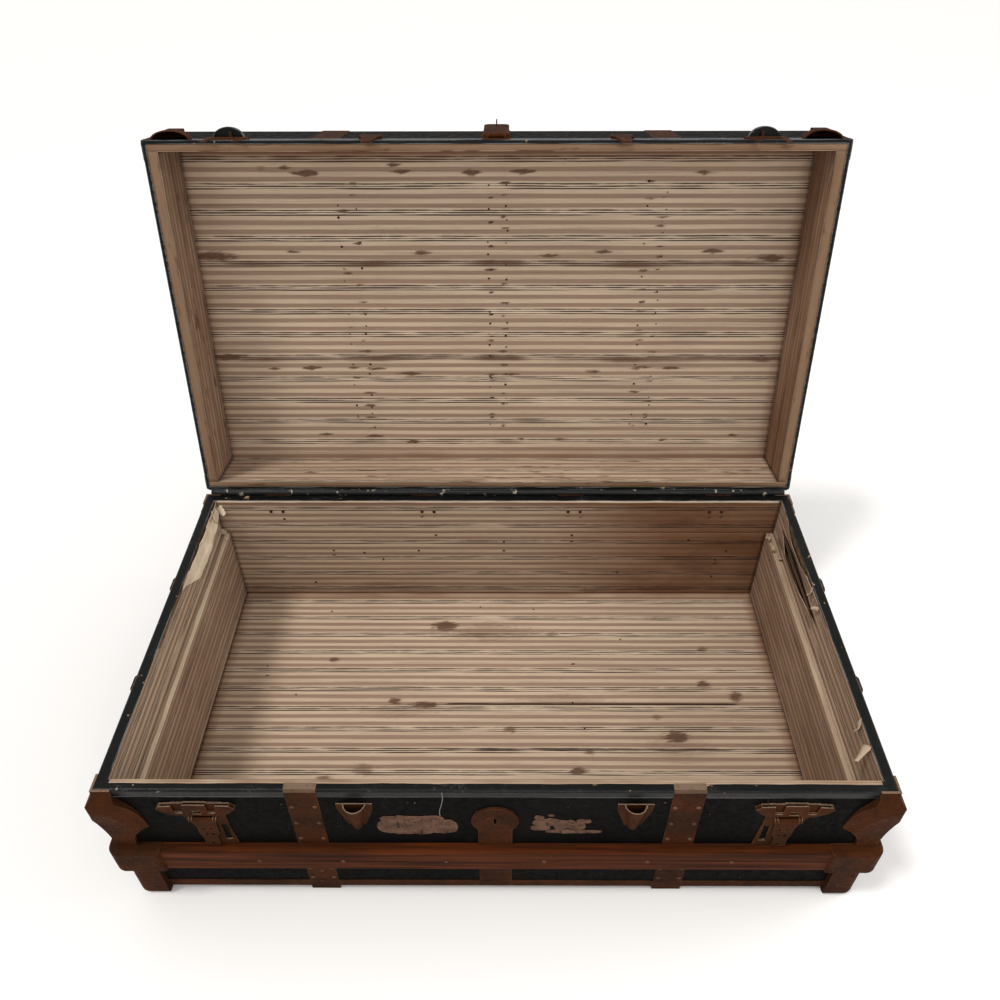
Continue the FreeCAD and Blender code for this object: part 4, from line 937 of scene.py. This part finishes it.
def back_torn_edge():
    """Thin pale torn edge of paper that stands up along the back wall's top."""
    wide = WALL_HIGH.x - 0.006
    top = WALL_HIGH.z

    def upper(u):
        return top + 0.0006 + 0.0014 * uneven(u, 60, 97)

    def lower(u):
        return top - 0.0012 - 0.0016 * uneven(u, 40, 98)
    return sheet((0, WALL_HIGH.y - INNER_PAPER, 0), (1, 0, 0), UP, (-wide, wide),
                 lower, upper, lambda u, v: 0.0011 + 0.0006 * rough_noise(u * 50, v, 99),
                 PALE_MARKS, plain=1.0)


def front_rim_lap():
    """Lining paper turned out over the inner half of the front rim, with a torn edge."""
    inner = -WALL_HIGH.y
    half = WALL_HIGH.x - 0.004

    def torn(u):
        return 0.0030 + 0.0016 * uneven(u, 45, 107)

    def lift(u, v):
        return 0.0003 + 0.0004 * rough_noise(u * 30, v * 80, 108)
    return sheet((0, inner, RIM_HIGH.z), (-1, 0, 0), (0, -1, 0), (-half, half), -0.0012, torn,
                 lift, LAP_MARKS, plain=0.2)


def split_behind():
    """Sheet in the right wall's split, made dark as painted shadow on the board behind it."""
    wide = WALL_HIGH.x - INNER_PAPER
    middle = gap_middle(WALL_HIGH.z)

    # painted shadow: high stain and dark levels make this sheet near black
    def shadow_in_split(u, v):
        return marked(0.8 + 0 * u, 0.75 + 0 * u, 0 * u)
    return sheet((wide, 0, 0), (0, -1, 0), UP, (-0.235, 0.02), middle - 0.016,
                 middle + 0.018, lambda u, v: -0.0003 + 0 * u, shadow_in_split, plain=1.0)


def split_threads():
    """Three red-brown slivers of lining cloth pulled across the split."""
    wide = WALL_HIGH.x - INNER_PAPER
    middle = gap_middle(WALL_HIGH.z)

    def brown(u, v):
        return marked(0.7 + 0 * u, 0 * u, 0.8 + 0 * u)
    slivers = []
    for number, (start, end, shift, rise) in enumerate(((-0.205, -0.03, 0.004, -0.004),
                                                        (-0.19, -0.045, -0.001, -0.001),
                                                        (-0.16, -0.02, -0.005, 0.003))):
        def low(u, shift=shift, rise=rise, start=start, end=end):
            return middle + shift + rise * (u - start) / (end - start)

        def high(u, low=low, number=number):
            return low(u) + 0.0014 + 0.0008 * wavy(u, 40, 102 + number)
        slivers.append(sheet((wide, 0, 0), (0, -1, 0), UP, (start, end), low, high,
                             lambda u, v: 0.0028 + 0.001 * smooth_noise(u * 30, v, 105),
                             brown, row=0.0008, plain=1.0))
    return slivers


def corner_shreds():
    """Curled ends of paper at the ledges' back ends and at the front corners. Each is
    (root, along, outward, length, width, radius, turn)."""
    narrow, wide, deep = FLOOR_HIGH.x, WALL_HIGH.x, WALL_HIGH.y
    top, ledge = WALL_HIGH.z, LEDGE_TOP
    right_ledge = (
        ((narrow + 0.004, deep - 0.020, ledge), (-1, -0.1, 0.2), (0, -0.3, 1), 0.026, 0.012, 0.005, 2.6),
        ((narrow + 0.002, deep - 0.045, ledge), (-1, -0.5, 0), (0, 0, 1), 0.022, 0.010, 0.006, 2.8),
        ((narrow + 0.003, deep - 0.012, ledge + 0.002), (-0.8, 0, 0.6), (-0.4, -0.8, 0),
         0.020, 0.008, 0.004, 2.4),
        ((narrow + 0.008, deep - 0.060, ledge), (-0.3, -1, 0), (0, 0, 1), 0.018, 0.010, 0.004, 2.2))
    left_ledge = (
        ((-narrow - 0.005, deep - 0.018, ledge), (0.9, -0.3, 0), (0, -0.2, 1),
         0.022, 0.012, 0.004, 2.2),
        ((-narrow - 0.010, deep - 0.006, ledge + 0.006), (1, 0, 0.1), (0, -1, 0.3),
         0.024, 0.012, 0.004, 2.0))
    left_top = (
        ((-wide + 0.004, deep - 0.003, top - 0.010), (0.6, -0.3, -0.7), (0.5, -0.8, 0),
         0.026, 0.018, 0.004, 1.8),
        ((-wide + 0.002, deep - 0.022, top - 0.006), (0.3, -0.9, -0.4), (1, 0, 0),
         0.030, 0.016, 0.004, 1.6))
    right_top = (
        ((wide - 0.003, -deep + 0.050, top - 0.002), (-0.7, -0.8, -0.1), (-0.6, 0, 0.8),
         0.044, 0.012, 0.004, 1.4),
        ((wide - 0.002, -deep + 0.085, top - 0.004), (-0.2, -1, 0), (-1, 0, 0.2),
         0.034, 0.014, 0.005, 2.0),
        ((wide - 0.002, 0.060, top - 0.003), (-0.1, -1, -0.3), (-1, 0, 0),
         0.026, 0.012, 0.004, 2.2),
        ((wide - 0.002, 0.020, top - 0.004), (-0.2, 1, -0.5), (-1, 0, 0),
         0.020, 0.010, 0.004, 2.0))
    return [curl_strip(*one) for one in right_ledge + left_ledge + left_top + right_top]


def loose_papers():
    """All the torn and lifted paper of the base, with the painted shadow in the right wall's split, as one piece.
    """
    sheets = [left_flap(), back_torn_edge(), front_rim_lap(), split_behind()]
    sheets += ledge_edges() + split_threads() + corner_shreds()
    paper_piece("loose_wall_papers", sheets, TORN, "base", thickness=0.0003)


# ---- points of nails that show through the paper ----
def nail_point(place, outward, size):
    """Small rough knob of a clinched nail, standing out of the paper."""
    outward = Vector(outward)
    side = outward.orthogonal().normalized()
    other = outward.cross(side)
    points = []
    sides = 9
    for radius, height in ((1.0, 0.0), (0.85, 0.35), (0.4, 0.6)):
        for k in range(sides):
            angle = 2 * math.pi * k / sides
            uneven = 0.8 + 0.4 * float(lattice(k, size * 1e5, 7))
            points.append(Vector(place) + size * radius * uneven
                          * (side * math.cos(angle) + other * math.sin(angle))
                          + outward * (size * height))
    return points, grid_quads(3, sides) + [tuple(range(2 * sides, 3 * sides))], 0


def lid_nail_points():
    """Two columns of nail points behind each of the lid's three bands."""
    random = np.random.default_rng(5)
    height = PANEL_LOW.z - 0.0004
    parts = []
    for column in BAND_COLUMNS:
        for shift in (-0.012, 0.014):
            for place in np.arange(-0.19, 0.20, 0.017):
                if random.random() < 0.6:
                    x = column + shift + random.uniform(-0.0015, 0.0015)
                    y = place + random.uniform(-0.004, 0.004)
                    size = random.uniform(0.0010, 0.0019)
                    points, quads, number = nail_point((x, y, height), (0, 0, -1), size)
                    parts.append(([TO_OPEN @ p for p in points], quads, number))
    mesh_piece("lid_nail_points", parts, [NAIL_POINT], "lid")


def base_nail_points():
    """Nail points in the back wall, in pairs near its top, and strays on wall and floor."""
    back = WALL_HIGH.y - INNER_PAPER - 0.0004
    floor = FLOOR_HIGH.z + 0.0004
    pairs = [(x, 0.2155) for middle in (-0.349, -0.110, 0.121, 0.344)
             for x in (middle - 0.0095, middle + 0.0095)]
    strays = [(-0.10, 0.165), (-0.27, 0.13), (-0.22, 0.125), (0.12, 0.165), (0.01, 0.15),
              (0.01, 0.13), (0.31, 0.155), (-0.31, 0.055), (0.36, 0.11), (-0.13, 0.13),
              (-0.19, 0.11), (0.375, 0.13), (0.36, 0.07), (-0.34, 0.20), (0.20, 0.08)]
    parts = [nail_point((x, back, z), (0, -1, 0), 0.0026) for x, z in pairs]
    parts += [nail_point((x, back, z), (0, -1, 0), 0.0019) for x, z in strays]
    on_floor = [(-0.365, 0.085), (-0.362, 0.066), (0.12, 0.09), (-0.31, 0.03), (0.20, 0.14),
                (0.02, -0.12), (0.245, -0.150), (0.262, -0.160), (0.30, -0.155), (0.13, -0.03),
                (-0.03, 0.21), (0.06, 0.205), (-0.28, 0.20), (0.115, 0.016)]
    parts += [nail_point((x, y, floor), (0, 0, 1), 0.0014) for x, y in on_floor]
    mesh_piece("base_nail_points", parts, [NAIL_POINT], "base")


# ---- labels on the front ----
def label_finish():
    """Remains of a plain brown paper label: fibres, dark scrapes and no print."""
    f = Finish("label_paper")
    paper = f.data("paper")
    broad = f.streaks(paper, (60.0, 90.0, 1.0), 4.0, 0.65)
    fine = f.streaks(paper, (420.0, 500.0, 1.0), 4.0, 0.7)
    f.colour = f.mix(f.ease(broad, 0.36, 0.62), srgb(96, 68, 52), srgb(64, 42, 32))
    f.tint(f.ease(fine, 0.45, 0.7, 0.0, 0.6), srgb(124, 96, 76))
    scrapes = f.streaks(paper, (150.0, 45.0, 1.0), 3.0)
    f.tint(f.ease(scrapes, 0.60, 0.66, 0.0, 0.85), srgb(30, 22, 18))
    f.set(Base_Color=f.colour, Roughness=0.85, Specular_IOR_Level=0.2)
    f.bump(f.math("ADD", fine, broad), 0.0005, 0.7)
    return f.material


def torn_label(left, right, low, high, seed, rough=0.006):
    """Patch of paper glued to the front canvas, torn all round."""
    middle = (left + right) / 2
    half = (right - left) / 2

    def ends(u):
        return np.sqrt(np.clip(1 - (np.abs(u - middle) / half) ** 6, 0, 1))

    def lower(u):
        tear = rough * (uneven(u, 70, seed) - 0.3)
        return (low + high) / 2 - (high - low) / 2 * ends(u) + tear * ends(u)

    def upper(u):
        tear = rough * (uneven(u, 80, seed + 5) - 0.5)
        return (low + high) / 2 + (high - low) / 2 * ends(u) - tear * ends(u) + 0.0004
    return sheet((0, CANVAS_LOW.y - 0.0004, 0), (1, 0, 0), UP, (left, right), lower,
                 upper, lambda u, v: 0.0003 * rough_noise(u * 200, v * 200, seed + 9),
                 column=0.0012)


def labels():
    """Two torn labels, the left one whole and the right one in scraps."""
    patches = [
        torn_label(-0.141, -0.044, 0.139, 0.178, 111, 0.010),
        torn_label(-0.136, -0.060, 0.170, 0.184, 113, 0.008),
        torn_label(0.044, 0.096, 0.160, 0.176, 115, 0.008),
        torn_label(0.042, 0.066, 0.149, 0.163, 117, 0.006),
        torn_label(0.070, 0.108, 0.152, 0.168, 119, 0.009),
        torn_label(0.060, 0.128, 0.143, 0.152, 121, 0.004),
        torn_label(0.096, 0.114, 0.166, 0.176, 123, 0.005),
        torn_label(0.046, 0.058, 0.176, 0.184, 125, 0.004),
        torn_label(0.062, 0.070, 0.182, 0.187, 127, 0.003)]
    piece = paper_piece("front_labels", patches, label_finish(), "base", thickness=0.0002)


def tube(path, radius, sides=8):
    """Round cord along a path, as points and quads."""
    points = []
    for index, place in enumerate(path):
        ahead = Vector(path[min(index + 1, len(path) - 1)])
        behind = Vector(path[max(index - 1, 0)])
        forward = (ahead - behind).normalized()
        side = forward.orthogonal().normalized()
        other = forward.cross(side)
        for k in range(sides):
            angle = 2 * math.pi * k / sides
            points.append(Vector(place) + radius * (side * math.cos(angle) + other * math.sin(angle)))
    return points, grid_quads(len(path), sides) + end_caps(len(points), sides)


def mesh_piece(name, parts, materials, body):
    """Join (points, faces, material number) parts into one smooth piece on a body."""
    points, faces, numbers = [], [], []
    for co, polygons, number in parts:
        start = len(points)
        points += [tuple(p) for p in co]
        faces += [tuple(start + index for index in polygon) for polygon in polygons]
        numbers += [number] * len(polygons)
    mesh = bpy.data.meshes.new(name)
    mesh.from_pydata(points, [], faces)
    for material in materials:
        mesh.materials.append(material)
    mesh.polygons.foreach_set("material_index", numbers)
    mesh.polygons.foreach_set("use_smooth", [True] * len(mesh.polygons))
    piece = added(name, mesh)
    if body:
        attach(piece, body)
    return piece


def hanging_thread():
    """A loose white thread from the rim down to the left label."""
    front = RIM_LOW.y - 0.0012
    path = [(-0.060 + 0.0012 * math.sin(6 * t) - 0.004 * t, front - 0.0008 * math.sin(5 * t),
             RIM_HIGH.z - 0.001 - 0.052 * t) for t in np.linspace(0, 1, 22)]
    points, quads = tube(path, 0.00020)
    mesh_piece("loose_thread", [(points, quads, 0)], [HANDLE_THREAD], "base")


# ---- canvas over the back joint ----
def joint_strip():
    """Painted canvas that bridges base and lid in front of the hinges' barrels."""
    radius = 0.0049
    half = CANVAS_HIGH.x - 0.006
    back = CANVAS_HIGH.y + 0.0006
    first, last = math.radians(203), math.radians(86)
    profile = [(back, RIM_HIGH.z - 0.011), (back, RIM_HIGH.z - 0.006)]
    for share in np.linspace(0, 1, 12):
        angle = first + (last - first) * share
        profile.append((HINGE.y + radius * math.cos(angle), HINGE.z + radius * math.sin(angle)))
    profile += [(HINGE.y + 0.004, HINGE.z + 0.0042), (HINGE.y + 0.010, HINGE.z + 0.0030)]
    points = []
    columns = 150
    for column in range(columns + 1):
        x = -half + 2 * half * column / columns
        for row, (y, z) in enumerate(profile):
            bulge = 0.0005 * (float(rough_noise(x * 40, row * 0.4, 131)) - 0.5)
            points.append((x, y - bulge, z + bulge))
    quads = [(a, d, c, b) for a, b, c, d in grid_quads(columns + 1, len(profile), closed=False)]
    strip = mesh_piece("back_joint_canvas", [(points, quads, 0)], [joint_finish()], None)
    thicken(strip, 0.0005)
    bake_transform(strip)
    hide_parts("back_joint_strips")


def joint_finish():
    """Black painted canvas, cracked where it flexes, with pale flakes."""
    f = Finish("joint_canvas")
    place = f.place()
    fine = f.noise(place, 160.0, 4.0, 0.7)
    creases = f.streaks(place, (18.0, 500.0, 500.0), 4.0, 0.6)
    f.colour = f.mix(f.ease(fine, 0.3, 0.7), srgb(10, 11, 11), srgb(24, 24, 23))
    f.tint(f.ease(creases, 0.6, 0.72, 0.0, 0.45), srgb(70, 72, 72))
    flakes = f.times(f.ease(f.noise(place, 75.0, 2.0), 0.66, 0.69), f.ease(fine, 0.42, 0.5))
    f.tint(flakes, srgb(146, 136, 120))
    f.set(Base_Color=f.colour, Roughness=f.ease(fine, 0.3, 0.8, 0.4, 0.7),
          Specular_IOR_Level=0.3)
    f.bump(f.math("ADD", fine, creases), 0.0006, 0.7)
    return f.material


# ---- leather handles ----
HANDLE_WIDE_GRIP = 0.0105       # half width of the strap at the grip
HANDLE_WIDE_LEG = 0.0082        # and at its legs
HANDLE_THICK = 0.0027           # half thickness at the edge of the strap


def handle_path(side):
    """Middle line of the strap from one pin down, along the grip and up, in (y, z)."""
    joint = next(j for j in frame["joints"] if j["name"] == side + "_handle_swing")
    axis_z = joint["pos_m"][2]
    low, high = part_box(side + "_handle")
    leg = high.y - 0.0085
    grip = low.z + HANDLE_WIDE_GRIP
    bend = 0.021
    half = [(leg, axis_z - share * (axis_z - grip - bend)) for share in np.linspace(0, 1, 6)]
    for angle in np.linspace(0, math.pi / 2, 9)[1:]:
        half.append((leg - bend * (1 - math.cos(angle)), grip + bend * (1 - math.sin(angle))))
    inner = leg - bend
    middle = [(inner - share * 2 * inner, grip) for share in np.linspace(0, 1, 15)[1:-1]]
    return half + middle + [(-y, z) for y, z in reversed(half)], joint["pos_m"][0], axis_z


def strap_section(half_width, half_thick, crown):
    """Cross-section points (across the strap, through its thickness), crowned both sides."""
    outline = []
    for angle in np.linspace(0, 2 * math.pi, 25)[:-1]:
        across = math.copysign(abs(math.cos(angle)) ** 0.6, math.cos(angle))
        through = math.copysign(abs(math.sin(angle)) ** 0.6, math.sin(angle))
        swell = crown * (1 - across * across)
        outline.append((half_width * across, (half_thick + swell) * through))
    return outline


def strap_body(path, axis_x):
    """Loft the strap along its path; the grip is wider and fuller than the legs."""
    points = []
    for index, (y, z) in enumerate(path):
        ahead = path[min(index + 1, len(path) - 1)]
        behind = path[max(index - 1, 0)]
        forward = Vector((0, ahead[0] - behind[0], ahead[1] - behind[1])).normalized()
        across = forward.cross(Vector((1, 0, 0)))
        fullness = 1 - ease(np.array(abs(y)), 0.045, 0.080)
        half_width = HANDLE_WIDE_LEG + (HANDLE_WIDE_GRIP - HANDLE_WIDE_LEG) * float(fullness)
        for a, t in strap_section(half_width, HANDLE_THICK, 0.0012 + 0.0018 * float(fullness)):
            points.append(Vector((axis_x, y, z)) + across * a + Vector((t, 0, 0)))
    around = len(points) // len(path)
    return points, grid_quads(len(path), around) + end_caps(len(points), around)


def strap_eye(axis_x, y, axis_z):
    """Strap end turned round its pin, as a thick sleeve."""
    points, quads = [], []
    around = 28
    ring = [(-0.0083, 0.0026), (0.0083, 0.0026), (0.0083, 0.0053), (0.0076, 0.0059),
            (-0.0076, 0.0059), (-0.0083, 0.0053)]
    for k in range(around):
        angle = 2 * math.pi * k / around
        for along, radius in ring:
            points.append((axis_x + radius * math.cos(angle), y + along,
                           axis_z + radius * math.sin(angle)))
    count = len(ring)
    for k in range(around):
        following = (k + 1) % around
        for c in range(count):
            over = (c + 1) % count
            quads.append((k * count + c, following * count + c, following * count + over,
                          k * count + over))
    return points, quads


def stitches(path, axis_x, outward):
    """Two rows of thread stitches along the strap's outer face."""
    parts = []
    for index in range(6, len(path) - 7):
        (y0, z0), (y1, z1) = path[index], path[index + 1]
        forward = Vector((0, y1 - y0, z1 - z0))
        across = forward.normalized().cross(Vector((1, 0, 0)))
        count = max(1, round(forward.length / 0.0052))
        for k in range(count):
            for row in (-0.0064, 0.0064):
                start = Vector((axis_x, y0, z0)) + forward * ((k + 0.15) / count) + across * row
                end = Vector((axis_x, y0, z0)) + forward * ((k + 0.80) / count) + across * row
                face = Vector((outward * (HANDLE_THICK + 0.0016), 0, 0))
                middle = (start + end) / 2 + face + Vector((outward * 0.0004, 0, 0))
                points, quads = tube([start + face * 0.86, middle, end + face * 0.86], 0.00042, 6)
                parts.append((points, quads, 1))
    return parts


def handle(side, outward):
    """One leather handle with its sewn grip and the two eyes on its pins."""
    path, axis_x, axis_z = handle_path(side)
    points, quads = strap_body(path, axis_x)
    parts = [(points, quads, 0)]
    for y in (path[0][0], path[-1][0]):
        eye_points, eye_quads = strap_eye(axis_x, y, axis_z)
        parts.append((eye_points, eye_quads, 0))
    parts += stitches(path, axis_x, outward)
    piece = mesh_piece(side + "_leather_handle", parts, [LEATHER, HANDLE_THREAD],
                       side + "_handle")
    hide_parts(side + "_handle")


# ---- studio ----
FLOOR_REACH = 14.0
CAMERA_PLACE = (0.0106, -0.7836, 1.135)
CAMERA_DOWN = math.radians(41.07)
CAMERA_TURN = math.radians(0.37)
CAMERA_ROLL = math.radians(-0.21)


def studio():
    """Pale floor, soft light from above and the left, and the camera."""
    mesh = bpy.data.meshes.new("studio_floor")
    corners = ((-1, -1), (1, -1), (1, 1), (-1, 1))
    mesh.from_pydata([(FLOOR_REACH * x, FLOOR_REACH * y, 0) for x, y in corners], [],
                     [(0, 1, 2, 3)])
    f = Finish("studio_floor")
    f.set(Base_Color=(0.90, 0.90, 0.90, 1.0), Roughness=0.9)
    mesh.materials.append(f.material)
    added("studio_floor", mesh)
    world = bpy.data.worlds.new("studio")
    world.use_nodes = True
    background = world.node_tree.nodes["Background"].inputs
    background["Color"].default_value = (1.0, 0.985, 0.965, 1.0)
    background["Strength"].default_value = 0.70
    bpy.context.scene.world = world
    key = bpy.data.lights.new("key", "SUN")
    key.energy = 1.5
    key.angle = math.radians(11)
    key.color = (1.0, 0.96, 0.92)
    sun = added("key", key)
    sun.rotation_euler = Vector((0.43, 0.16, -1.0)).to_track_quat("-Z", "Y").to_euler()
    lamp("fill", (0.5, -2.6, 2.1), 1.6, 18.0, (1.0, 0.96, 0.92))
    lamp("side", (2.5, 0.3, 1.6), 1.2, 24.0, (1.0, 0.97, 0.93))
    lens = bpy.data.cameras.new("camera")
    lens.lens = 31.37
    lens.sensor_width = 36.0
    camera = added("camera", lens)
    camera.location = CAMERA_PLACE
    turned = Matrix.Rotation(CAMERA_TURN, 3, "Z")
    tipped = Matrix.Rotation(math.radians(90) - CAMERA_DOWN, 3, "X")
    rolled = Matrix.Rotation(CAMERA_ROLL, 3, "Z")
    camera.rotation_euler = (turned @ tipped @ rolled).to_euler()
    bpy.context.scene.camera = camera
    bpy.context.scene.view_settings.view_transform = "Standard"


def lamp(name, place, size, power, colour):
    """Square area lamp that looks at the trunk's middle."""
    data = bpy.data.lights.new(name, "AREA")
    data.size = size
    data.energy = power
    data.color = colour
    light = added(name, data)
    light.location = place
    aim = Vector((0, 0, 0.2)) - Vector(place)
    light.rotation_euler = aim.to_track_quat("-Z", "Y").to_euler()


# ---- build ----
dress_cad_nodes()
lid_panel()
LID_INNER = lid_walls()
lid_rim_fold(*LID_INNER)
base_floor()
base_walls()
loose_papers()
lid_nail_points()
base_nail_points()
labels()
hanging_thread()
joint_strip()
handle("left", -1)
handle("right", 1)
studio()
